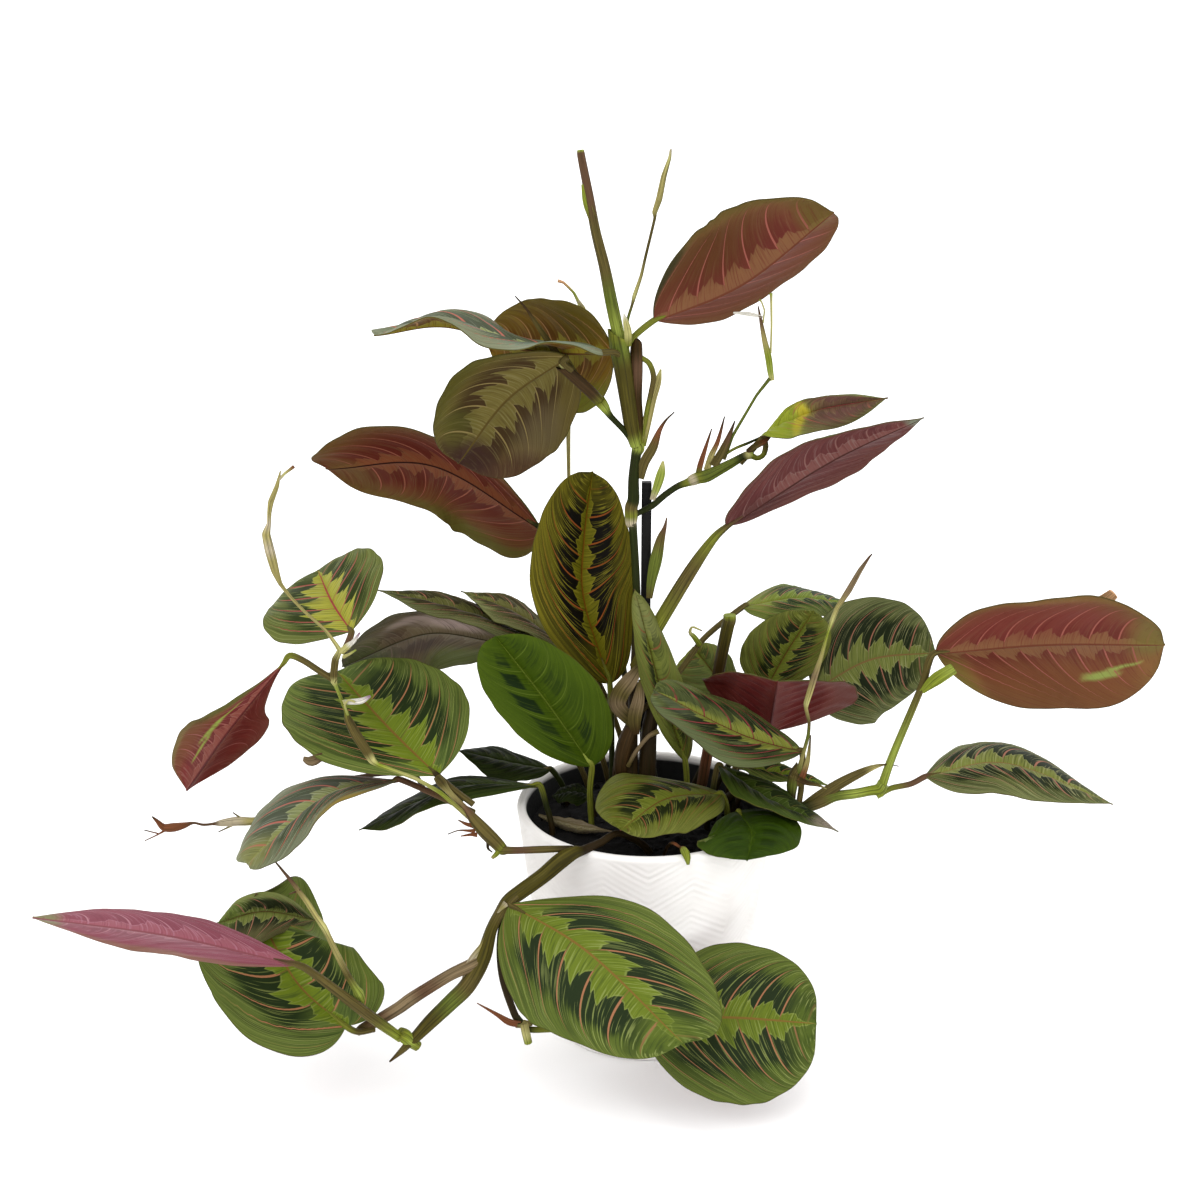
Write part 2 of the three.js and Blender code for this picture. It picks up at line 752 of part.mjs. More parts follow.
function strandsOf(name) {
  if (stems[name]) {
    return Object.values(stems[name].strands).map((places) => ({ places, sides: stemSides }));
  }
  return leaves[name].stem ? [{ places: leafStemPlaces(leaves[name]), sides: leafStemSides }] : [];
}

for (const name of [...Object.keys(stems), ...Object.keys(leaves)]) {
  const strands = strandsOf(name);
  const parts = strands.map((strand) => stemSolid(strand.places, strand.sides));
  room[name] = strands.map((strand) => stemSolid(strand.places, strand.sides, gap));
  if (leaves[name]) {
    parts.push(bladeSolid(leaves[name]));
  }
  bodies[name] = joined(parts);
}

for (const name of Object.keys(bodies)) {
  const carriers = [(leaves[name] ?? stems[name]).on ?? []].flat();
  for (const carrier of carriers) {
    bodies[name] = largest(bodies[name].subtract(joined(room[carrier])));
  }
}

// The soil has a hole for every stem and for the stick.
const stickRoom = toSolid(stickGeometry(gap));
const filling = toSolid(soilGeometry());
const soil = Object.values(room).flat().reduce((rest, solid) => rest.subtract(solid), filling);

add('pot', potGeometry(), 'pot', 'pot');
add('soil', toGeometry(largest(soil.subtract(stickRoom))), 'soil', 'soil');
add('stick', stickGeometry(), 'stick', 'stick');
for (const [name, stem] of Object.entries(stems)) {
  add(name, toGeometry(bodies[name]), stem.colour, 'stem');
}
for (const [name, leaf] of Object.entries(leaves)) {
  add(name, toGeometry(bodies[name]), leaf.colour, 'leaf');
}

export default group;
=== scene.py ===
import math
import random

import bpy
import numpy as np
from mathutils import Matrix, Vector, noise


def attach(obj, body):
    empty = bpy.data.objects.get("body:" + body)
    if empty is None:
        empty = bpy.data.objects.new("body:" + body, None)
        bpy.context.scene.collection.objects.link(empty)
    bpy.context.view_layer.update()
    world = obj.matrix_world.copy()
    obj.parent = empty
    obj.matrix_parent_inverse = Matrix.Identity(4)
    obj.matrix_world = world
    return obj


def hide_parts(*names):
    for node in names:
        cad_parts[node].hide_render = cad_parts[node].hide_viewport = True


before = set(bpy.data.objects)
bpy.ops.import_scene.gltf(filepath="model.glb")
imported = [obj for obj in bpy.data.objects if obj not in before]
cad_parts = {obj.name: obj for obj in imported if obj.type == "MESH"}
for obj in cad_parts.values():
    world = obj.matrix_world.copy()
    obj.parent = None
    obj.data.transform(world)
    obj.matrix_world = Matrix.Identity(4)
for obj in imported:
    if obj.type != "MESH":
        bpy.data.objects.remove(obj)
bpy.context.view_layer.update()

MM = 0.001
WELD_DISTANCE = 1e-6
COLOUR_SHARE = 0.75

# Pot and soil
POT_HEIGHT = 120
RIM_RADIUS = 65
BASE_RADIUS = 50
POT_WALL = 4.5
FLOOR_THICKNESS = 6
FOOT_EDGE = 1.5
SOIL_EDGE = 106
SOIL_MOUND = 3
CHEVRONS = 9
CHEVRON_RISE = 13
GROOVE_SPACING = 3.6
GROOVE_DEPTH = 0.5
POT_COLUMNS = 400
WALL_ROWS = 190
FOOT_STEPS = 5
RIM_STEPS = 11
SOIL_GAP = 0.3
SOIL_COLUMNS = 120
SOIL_RINGS = 44
LUMP_WIDTH = 4
LUMP_HEIGHT = 1.4
CRUMBS = 140
CRUMB_SIZES = (0.8, 2.2)

# Stick
STICK_WIDTH = 4.8
STICK_TOP = 284
STICK_FOOT = 85
STICK_PLACE = (-0.5, 9)
STICK_EDGE = 0.5

# Leaves
BLADE_THICKNESS = 0.5
BLADE_COLUMNS = 40
BLADE_ROWS = 88
USUAL_WIDEST = 0.45
USUAL_BLUNT = 0.5
ARCH = 2.4
WAVE = 1.4
RIPPLE = 0.3
PILLOW = 0.7
RIB_GROOVE = 0.5
RIB_GROOVE_WIDTH = 0.03
RIB_RIDGE = 0.9
RIB_RIDGE_WIDTH = 0.028
NARROWEST = 0.012
TIP_SHARE = 0.03
TIP_LENGTH = 1.8
VEIN_PAIRS = 6.2
VEIN_SWEEP = 0.58
LEAF_EDGE = "#4a4a20"
FRONT = (0, -0.9, 0.45)

# Stems
LEAF_STEM_RADIUS = 1.5
LEAF_STEM_END = (1.5, 1.1, 0.5)
LEAF_STEM_SIDES = 12
STRAND_SIDES = 22
STEM_STEP = 1.4
THINNEST_STEM = 0.22
MOUTH_SIZES = [0.86, 0.8, 0.6]
MOUTH_ROWS = 5
MOUTH_LEAN = 0.8
MOUTH_SHADE = 0.35
USUAL_STEM_COLOURS = "ooooo"

# Light and camera
SKY_STRENGTH = 1.45
SOFTBOX_SPREAD = 40
CAMERA_PLACE = (-0.023, -0.816, 0.5)
CAMERA_TILT = 71.5
CAMERA_LENS = 53.0
SENSOR_WIDTH = 36
CAMERA_NEAR = 0.01

# Colours of the stems. The letters of a strand are spread evenly along it.
STEM_COLOURS = {
    "b": "#42301a",
    "d": "#232a0a",
    "g": "#5d6726",
    "l": "#8c9840",
    "m": "#6e7226",
    "n": "#7f8a2c",
    "o": "#5a4f28",
    "p": "#5f4632",
    "r": "#74452a",
    "s": "#9a9058",
    "w": "#b0a488",
    "y": "#b5b070",
    "k": "#2e2312",
    "a": "#d8a67c",
    "c": "#36250b",
    "e": "#7c6a4e",
    "q": "#dcd8cc",
    "u": "#4b4416",
    "v": "#8a6a80",
}

# A wash is a soft patch of colour: its place along and across, its length and width, its colour and
# the share that it covers. Most are the leaf's own markings; a few are painted highlights and painted
# shade, noted where they stand.
FOLDED_WASHES = [(0.4, 0.0, 0.6, 1.0, "#544a2e", 0.6), (0.5, -0.3, 0.4, 0.3, "#35281c", 0.75)]

# A leaf is set by places along its midrib, by the left and right edge at its widest part, and by the
# places of its stem.
# A leaf's light scales all its colours: partly the leaf's own tone, partly painted light and shade for how
# much light falls on it.
LEAVES = {
    "leaf_top_right": dict(
        rib=[(2, 2, 363), (43, 4, 380), (81, -5, 412)],
        left=(55, 30, 368), right=(25, -24, 412),
        stem=[(-12, 0, 350), (-6, 0, 357)],
        base=0.64, blunt=0.42,
        top="fresh", back="red_back",
        washes=[
            (0.5, -0.5, 0.6, 0.5, "#86503f", 0.7), (0.97, 0.2, 0.1, 0.9, "#6f6a2a", 0.6),
            (0.55, 0.97, 0.5, 0.14, "#6b6a28", 0.6), (0.4, 0.6, 0.4, 0.4, "#5c3a16", 0.6),
            (0.1, 0.95, 0.14, 0.25, "#333c22", 0.9),
        ],
        stem_colours="gmmmmo",
    ),
    "leaf_upper_left": dict(
        rib=[(-23, -14, 351), (-58, -10, 353), (-94, -6, 362), (-125, -8, 358)],
        left=(-65, -33, 358), right=(-80, 20, 359),
        stem=[(-12, 0, 346), (-17, -8, 350)],
        wave=4.0, base=0.3, blunt=0.32,
        top="silver", back="brown_back",
        washes=[
            (0.6, -0.85, 0.5, 0.25, "#8f9172", 0.5), (0.97, 0.0, 0.1, 0.9, "#84896a", 0.6),
            (0.25, -0.75, 0.2, 0.3, "#6f8070", 0.7),
        ],
    ),
    "leaf_behind_top": dict(
        rib=[(-17, 8, 347), (-46, 30, 343), (-78, 55, 342)],
        left=(-49, 6, 373), right=(-40, 44, 309),
        stem=[(-11, 0, 338), (-13, 5, 344)],
        light=1.1, top="fresh", back="brown_back",
        washes=[(0.2, -0.6, 0.25, 0.5, "#67611d", 0.5), (0.25, 0.9, 0.2, 0.3, "#6d7a20", 0.7)],
    ),
    "leaf_round": dict(
        rib=[(-38, -18, 350), (-67, 2, 326), (-91, 18, 292)],
        left=(-88, -20, 342), right=(-43, 26, 298),
        stem=[(-36, -14, 343), (-40, -17, 347)],
        base=0.5, blunt=0.4, veins=5,
        top="fresh", back="olive_back",
        washes=[
            (0.96, 0.2, 0.16, 1.2, "#43242c", 0.85), (0.78, 0.9, 0.2, 0.3, "#54302e", 0.7),
            (0.5, -0.95, 0.4, 0.2, "#66651f", 0.7), (0.8, -0.5, 0.14, 0.4, "#66672a", 0.6),
            # The mauve wash at 0.5 along is a painted highlight of the leaf's sheen.
            (0.5, 0.7, 0.25, 0.3, "#7a6a50", 0.6),
        ],
    ),
    "leaf_left_red": dict(
        rib=[(-54, 58, 247), (-108, 62, 279), (-162, 66, 276)],
        left=(-121, 44, 304), right=(-101, 84, 238),
        stem=[(-7, 0, 156), (-9, 20, 164), (-14, 40, 190), (-36, 56, 230)],
        base=0.36, blunt=0.4, wave=2.4, veins=8,
        top="fresh", back="dark_red_back",
        washes=[
            (0.4, -0.5, 0.4, 0.4, "#5c1f18", 0.5), (0.35, 0.92, 0.5, 0.14, "#5f6422", 0.7),
            (0.93, 0.2, 0.1, 0.8, "#6c5c30", 0.5),
        ],
        stem_colours="kkdddoo",
    ),
    "leaf_centre": dict(
        rib=[(-18, 14, 178), (-31, 18, 221), (-31, 24, 250), (-27, 34, 281)],
        left=(-57, 6, 243), right=(-6, 18, 234),
        stem=[(-17, 10, 85), (-17, 10, 110), (-17, 12, 150)],
        base=0.55, blunt=0.46, veins=7,
        top="glowing", back="red_back",
        stem_colours="kddmmo",
    ),
    "leaf_green_plain": dict(
        rib=[(-27, -14, 145), (-49, -14, 179), (-73, -6, 209)],
        left=(-71, -28, 178), right=(-24, -16, 189),
        stem=[(-26, -9, 85), (-27, -10, 108), (-28, -12, 130)],
        base=0.56, blunt=0.46, veins=5.4,
        top="plain", back="plain_back",
        stem_colours="kmmmll",
    ),
    "leaf_left_striped": dict(
        rib=[(-100, -46, 154), (-125, -20, 167), (-155, 18, 182)],
        left=(-171, -30, 166), right=(-93, -2, 184),
        stem=[(-83, -52, 142), (-92, -49, 148)],
        extra={"lobe_bract": ("eep", [(-165, -38, 160, 1.3), (-161, -38, 159, 2.8), (-155, -39, 162, 1.9)])},
        base=0.5, blunt=0.42,
        light=1.2, top="shaded", back="mauve_back",
        stem_colours="ookoo",
    ),
    "leaf_far_left": dict(
        rib=[(-136, -58, 231), (-148, -34, 237), (-159, -2, 242)],
        left=(-178, -44, 227), right=(-125, -30, 258),
        stem=[(-139, -64, 224), (-137, -61, 228)],
        veins=5, top="pale", back="mauve_back",
        stem_colours="ppooo",
    ),
    "leaf_hanging_red": dict(
        rib=[(-164, -62, 221), (-191, -74, 190), (-214, -66, 157)],
        left=(-217, -54, 182), right=(-179, -52, 181),
        stem=[(-143, -66, 210), (-151, -65, 215), (-158, -63, 219)],
        widest=0.72, base=0.8, blunt=0.22, wave=2.0,
        top="fresh", back="crimson_back",
        washes=[
            (0.6, 0.6, 0.5, 0.6, "#6c2620", 0.7), (0.7, -0.7, 0.3, 0.3, "#744a28", 0.6),
            (0.45, -0.42, 0.12, 0.04, "#8fa044", 1.0), (0.6, -0.36, 0.14, 0.05, "#8fa044", 1.0),
            (0.75, -0.27, 0.12, 0.04, "#8fa044", 1.0), (0.3, -0.9, 0.35, 0.3, "#556328", 0.8),
            (0.75, -0.95, 0.3, 0.12, "#6c7440", 0.6),
        ],
        stem_colours="ooommm",
    ),
    "leaf_purple_grey": dict(
        rib=[(-74, 30, 195), (-112, 34, 198), (-155, 40, 178)],
        left=(-114, 18, 215), right=(-113, 54, 166),
        stem=[(-26, 20, 85), (-27, 21, 110), (-36, 23, 135), (-54, 27, 168)],
        top="grey", back="grey_back",
        washes=[
            # The pale pink washes at 0.3 and 0.52 along are painted highlights of the leaf's sheen.
            (0.5, 0.0, 0.6, 0.9, "#7a6448", 0.6), (0.3, -0.3, 0.2, 0.2, "#c2aaa2", 0.85),
            (0.52, -0.5, 0.16, 0.14, "#b09a90", 0.8), (0.42, -0.72, 0.12, 0.1, "#3c2a22", 0.7),
            (0.55, 0.3, 0.25, 0.2, "#463028", 0.8), (0.95, 0.2, 0.24, 1.0, "#3c4814", 0.9),
            (0.25, 0.75, 0.3, 0.3, "#5f6c2c", 0.8), (0.68, -0.1, 0.1, 0.3, "#4a3028", 0.7),
        ],
        stem_colours="kkooooo",
    ),
    "leaf_folded_left": dict(
        rib=[(-47, 26, 193), (-90, 22, 213), (-133, 18, 226)],
        left=(-91, 6, 212), right=(-91, 40, 213),
        stem=[(-16, 24, 85), (-17, 25, 110), (-24, 27, 140), (-36, 28, 172)],
        blunt=1,
        top="grey", back="grey_back",
        washes=FOLDED_WASHES,
        stem_colours="kkooooo",
    ),
    "leaf_folded_middle": dict(
        rib=[(-31, 28, 184), (-63, 28, 209), (-91, 24, 223)],
        left=(-69, 14, 209), right=(-66, 44, 211),
        stem=[(-7, 30, 85), (-7, 31, 110), (-12, 33, 140), (-22, 32, 168)],
        blunt=1,
        light=1.35, top="grey", back="grey_back",
        washes=FOLDED_WASHES,
        stem_colours="kkooooo",
    ),
    "leaf_low_striped": dict(
        rib=[(-120, -30, 145), (-155, -40, 141), (-190, -56, 114)],
        left=(-162, -64, 131), right=(-192, -10, 118),
        stem=[(-83, -52, 138), (-90, -47, 139), (-106, -37, 142)],
        widest=0.6, base=0.75, blunt=0.45,
        light=1.05, top="silver", back="mauve_back",
        washes=[
            (0.95, 0.0, 0.14, 1.0, "#8a8a3c", 0.65), (0.1, 0.2, 0.12, 0.9, "#6b5c4a", 0.6),
            (0.3, -0.97, 0.2, 0.14, "#a08530", 0.8),
        ],
        stem_colours="ooppoo",
    ),
    "leaf_dark_low": dict(
        rib=[(-53, -6, 131), (-95, -12, 132), (-141, -20, 114)],
        left=(-106, -30, 129), right=(-110, 8, 124),
        stem=[(-46, -12, 85), (-47, -12, 110), (-50, -9, 122)],
        blunt=0.9,
        light=1.35, top="dark", back="grey_back",
        stem_colours="kkdmmo",
    ),
    "leaf_dark_rim": dict(
        rib=[(-48, 20, 128), (-69, 18, 133), (-94, 16, 140)],
        left=(-71, 4, 128), right=(-75, 36, 132),
        stem=[(-39, 24, 85), (-40, 23, 108), (-43, 21, 120)],
        blunt=0.8,
        light=0.85, top="dark", back="grey_back",
        stem_colours="kkddoo",
    ),
    "leaf_rolled_pink": dict(
        rib=[(-156, -128, 100), (-210, -134, 118), (-270, -126, 122)],
        left=(-215, -112, 117), right=(-220, -108, 93),
        stem=[(-116, -101, 46, 2.2), (-130, -112, 66, 2.6), (-150, -124, 93, 1.8)],
        blunt=0.8,
        top="fresh", back="pink_back",
        washes=[(0.97, 0.0, 0.06, 1.2, "#7f8a55", 0.8), (0.5, 0.95, 0.6, 0.12, "#8f7a4c", 0.5)],
        stem_colours="nooopp",
    ),
    "leaf_rolled_tip": dict(
        rib=[(-140, -106, 55), (-164, -88, 66), (-182, -66, 83), (-187, -58, 96), (-185, -70, 104)],
        left=(-201, -98, 64), right=(-137, -77, 76),
        stem=[(-128, -100, 50), (-135, -104, 51)],
        base=0.52, blunt=0.44,
        top="shaded", back="mauve_back",
        washes=[
            (0.78, 0.5, 0.24, 0.6, "#76863a", 0.8), (0.78, -0.6, 0.24, 0.5, "#4c4a1c", 0.7),
            (0.3, 0.9, 0.3, 0.3, "#566420", 0.5),
        ],
        fold=dict(
            rib=[(-161, -55, 82), (-182, -70, 95), (-204, -66, 87)],
            left=(-184, -77, 82), right=(-182, -69, 105),
            widest=0.6, base=0.7, wave=0.8, veins=5, light=0.85, top="grey", back="mauve_back",
            washes=[
                # The near-black wash at 0.45 along is painted shade inside the roll.
                (0.5, -0.8, 0.6, 0.4, "#68603c", 0.7), (0.45, 0.45, 0.3, 0.3, "#1e2409", 0.85),
                (0.9, 0.4, 0.2, 0.6, "#76863a", 0.8), (0.6, 0.95, 0.5, 0.2, "#8a9450", 0.8),
            ],
        ),
        stem_colours="oommm",
    ),
    "leaf_front": dict(
        rib=[(-65, -78, 103), (-28, -112, 97), (13, -132, 64)],
        left=(13, -114, 108), right=(-55, -120, 67),
        stem=[(-58, -74, 108), (-62, -76, 106)],
        base=0.52, blunt=0.42,
        top="fresh", back="mauve_back",
        washes=[(0.06, 0.0, 0.1, 1.3, "#626e24", 0.5), (0.92, 0.0, 0.08, 0.5, "#66752c", 0.6)],
    ),
    "leaf_lower_right": dict(
        rib=[(-4, -82, 43), (36, -90, 50), (77, -92, 48)],
        left=(42, -66, 76), right=(41, -112, 17),
        stem=[(-58, -86, 41), (-49, -86, 41), (-23, -84, 42)],
        base=0.46, blunt=0.38,
        top="fresh", back="mauve_back",
        stem_colours="dmmmmm",
    ),
    "leaf_rim": dict(
        rib=[(37, -18, 132), (9, -39, 139), (-12, -57, 132)],
        left=(20, -54, 130), right=(-17, -16, 139),
        stem=[(40, -12, 85), (41, -12, 110), (40, -16, 124)],
        top="olive", back="mauve_back",
        stem_colours="kmmmmo",
    ),
    "leaf_right_plain": dict(
        rib=[(45, -26, 126), (50, -44, 124), (47, -60, 118)],
        left=(74, -30, 121), right=(25, -62, 127),
        stem=[(46, -20, 85), (46, -21, 108), (45, -23, 118)],
        base=0.45, blunt=0.45, light=1.2,
        top="deep", back="plain_back",
        washes=[(0.15, 0.0, 0.25, 1.0, "#1c2804", 0.7)],
        stem_colours="kddmmm",
    ),
    "leaf_back_far": dict(
        rib=[(50, 42, 209), (81, 66, 206), (110, 88, 195)],
        left=(84, 94, 203), right=(82, 54, 199),
        stem=[(-6, 0, 165), (6, 4, 176), (18, 12, 187), (30, 24, 199)],
        extra={"node_curl": ("mnyyyb", [
            (27, 19, 197, 1.5), (24, 17, 202, 1.3), (22, 17, 204, 0.9), (23, 17, 207, 0.6),
            (26, 17, 206, 0.5), (28, 17, 205, 0.3),
        ])},
        light=1.15, top="fresh", back="grey_back",
        washes=[(0.12, 0.0, 0.16, 0.9, "#82883c", 0.6)],
        stem_colours="koooomm",
    ),
    "leaf_back_right": dict(
        rib=[(88, 42, 163), (118, 48, 178), (152, 56, 179)],
        left=(107, 58, 207), right=(122, 42, 146),
        stem=[(43, 28, 85), (44, 28, 112), (51, 32, 127), (74, 40, 150)],
        base=0.48, blunt=0.42,
        light=0.88, top="grey", back="mauve_back",
        stem_colours="kkdooll",
    ),
    "leaf_back_middle": dict(
        rib=[(62, 30, 168), (72, 36, 185), (86, 44, 205)],
        left=(51, 36, 193), right=(92, 34, 183),
        stem=[(36, 26, 85), (37, 27, 112), (46, 30, 130), (57, 31, 152)],
        light=0.9, top="olive", back="red_back",
        stem_colours="kkdmmoo",
    ),
    "leaf_back_small": dict(
        rib=[(47, 32, 159), (35, 36, 176), (26, 42, 186)],
        left=(17, 28, 169), right=(43, 40, 184),
        stem=[(24, 32, 85), (25, 32, 110), (37, 32, 138)],
        light=1.3, top="olive", back="grey_back",
        washes=[(0.35, 0.0, 0.5, 1.3, "#646e3a", 0.85)],
        stem_colours="kkdmmo",
    ),
    "leaf_red_arched": dict(
        rib=[(64, 24, 147), (64, 8, 168), (63, -16, 190)],
        left=(106, 8, 174), right=(28, 6, 183),
        stem=[(46, 14, 85), (48, 15, 112), (58, 20, 130)],
        top="fresh", back="crimson_back",
        washes=[
            (0.5, 0.1, 0.7, 0.5, "#6a1f20", 0.7), (0.5, -0.9, 0.6, 0.25, "#7a4844", 0.75),
            (0.5, -0.45, 0.6, 0.25, "#5f1816", 0.8), (0.5, 0.85, 0.6, 0.35, "#550e0e", 0.85),
        ],
        stem_colours="kkrrrr",
    ),
    "leaf_right_striped": dict(
        rib=[(78, -4, 148), (46, -16, 163), (4, -28, 190)],
        left=(32, -44, 163), right=(40, -4, 176),
        stem=[(77, -7, 122), (78, -6, 132)],
        light=0.66, top="bright", back="mauve_back",
        washes=[
            (0.75, 0.3, 0.3, 0.2, "#5c6638", 0.85), (0.9, -0.3, 0.16, 0.3, "#66704a", 0.8),
            (0.6, -0.95, 0.6, 0.2, "#7c8860", 0.6),
        ],
    ),
    "leaf_narrow_centre": dict(
        rib=[(20, 0, 141), (7, -6, 182), (-6, -10, 234)],
        left=(0, -7, 177), right=(21, 2, 174),
        stem=[(20, -1, 85), (21, -1, 110), (21, 0, 128)],
        base=0.9, blunt=0.45, light=0.85,
        top="olive", back="mauve_back",
        washes=[
            (0.2, -0.5, 0.2, 0.7, "#6c7528", 0.8), (0.62, 0.5, 0.16, 0.6, "#78803a", 0.8),
            (0.9, 0.0, 0.12, 1.0, "#8a8e54", 0.8), (0.5, -0.7, 0.4, 0.3, "#7c8440", 0.6),
        ],
        stem_colours="kkmmmm",
    ),
    "leaf_far_right": dict(
        rib=[(141, -6, 202), (193, -10, 208), (248, -14, 209)],
        left=(210, 16, 162), right=(185, -34, 240),
        stem=[(117, -6, 126, 2.4), (123, -6, 148, 2), (135, -6, 184, 1.8), (138, -6, 198, 1.8)],
        extra={"curled_bract": ("aaa", [(207, -13, 222, 2.4), (214, -15, 229, 4.6), (221, -18, 237, 3)])},
        widest=0.48, base=0.52, blunt=0.41, wave=2.0, veins=8,
        top="fresh", back="red_back",
        washes=[
            (0.4, 0.5, 0.42, 0.4, "#8c3c38", 0.6), (0.98, 0.1, 0.12, 1.2, "#87803e", 0.7),
            (0.6, 0.97, 0.4, 0.12, "#927434", 0.5), (0.04, -0.8, 0.1, 0.6, "#8a8a3c", 0.6),
            (0.6, -0.65, 0.5, 0.45, "#8e5834", 0.65),
            (0.72, -0.56, 0.1, 0.05, "#a4b45c", 1.0), (0.83, -0.47, 0.08, 0.03, "#a4b45c", 1.0),
        ],
        stem_colours="nlooooo",
    ),
    "leaf_right_pointed": dict(
        rib=[(140, -4, 135), (179, -8, 144), (230, -16, 126)],
        left=(176, 26, 142), right=(171, -34, 138),
        stem=[(116, -6, 125), (123, -5, 129), (133, -4, 131)],
        blunt=0.9,
        light=1.2, top="grey", back="mauve_back",
        stem_colours="lmppoo",
    ),
    "leaf_twisted": dict(
        rib=[(54, 6, 306), (78, 2, 320), (110, -2, 327)],
        left=(72, 8, 323), right=(70, -14, 312),
        stem=[(44, 6, 294), (50, 6, 301)],
        blunt=0.8, twist=1.4,
        light=1.15, top="pale", back="mauve_back",
        washes=[
            (0.7, 0.0, 0.36, 1.1, "#64423c", 0.95), (0.85, -0.9, 0.3, 0.3, "#6f7a4a", 0.8),
            (0.2, 0.0, 0.26, 1.6, "#94a02c", 0.9), (0.42, 0.1, 0.05, 0.9, "#b5a52c", 0.9),
        ],
    ),
    "leaf_narrow_mauve": dict(
        rib=[(38, -2, 265), (85, -6, 298), (126, -10, 319)],
        left=(96, 16, 285), right=(63, -22, 305),
        stem=[(-6, 0, 192, 2.6), (4, -1, 212, 3.4), (20, -2, 241, 3.2), (31, -2, 258, 2.2)],
        base=0.75, blunt=0.9,
        top="fresh", back="mauve_back",
        washes=[(0.98, 0.0, 0.05, 1.2, "#85907a", 0.9), (0.1, -0.3, 0.14, 0.7, "#3c1a18", 0.6)],
        stem_colours="umomopp",
    ),
    "leaf_striped_long": dict(
        rib=[(36, -6, 142), (61, -22, 130), (92, -32, 119)],
        left=(68, -8, 129), right=(47, -34, 136),
        stem=[(30, -8, 85), (31, -8, 110), (34, -7, 132)],
        blunt=1,
        light=1.7, top="dark", back="grey_back",
        washes=[(0.95, 0.0, 0.12, 1.2, "#85786c", 0.7)],
        stem_colours="kkdoooo",
    ),
    "leaf_striped_upper": dict(
        rib=[(46, 8, 135), (69, 8, 130), (92, 8, 125)],
        left=(70, 18, 131), right=(65, 0, 130),
        stem=[(45, 3, 85), (45, 3, 110), (44, 6, 126)],
        blunt=0.9,
        light=1.6, top="shaded", back="grey_back",
        stem_colours="kkdooo",
    ),
    "leaf_pot_small": dict(
        rib=[(-28, 12, 117), (-37, 11, 119), (-46, 12, 117)],
        left=(-37, 2, 117), right=(-37, 19, 119),
        stem=[(-25, 6, 85), (-26, 8, 110)],
        light=0.6, top="dark", back="grey_back",
        stem_colours="kkddd",
    ),
    "dry_bract": dict(
        rib=[(-54, 1, 111), (-37, -10, 111), (-18, -25, 115)],
        left=(-37, -15, 112), right=(-37, -4, 112),
        blunt=0.9, wave=0.5,
        top="dry", back="dry",
        washes=[(0.95, 0.0, 0.1, 1.2, "#8f6c60", 0.6)],
    ),
}

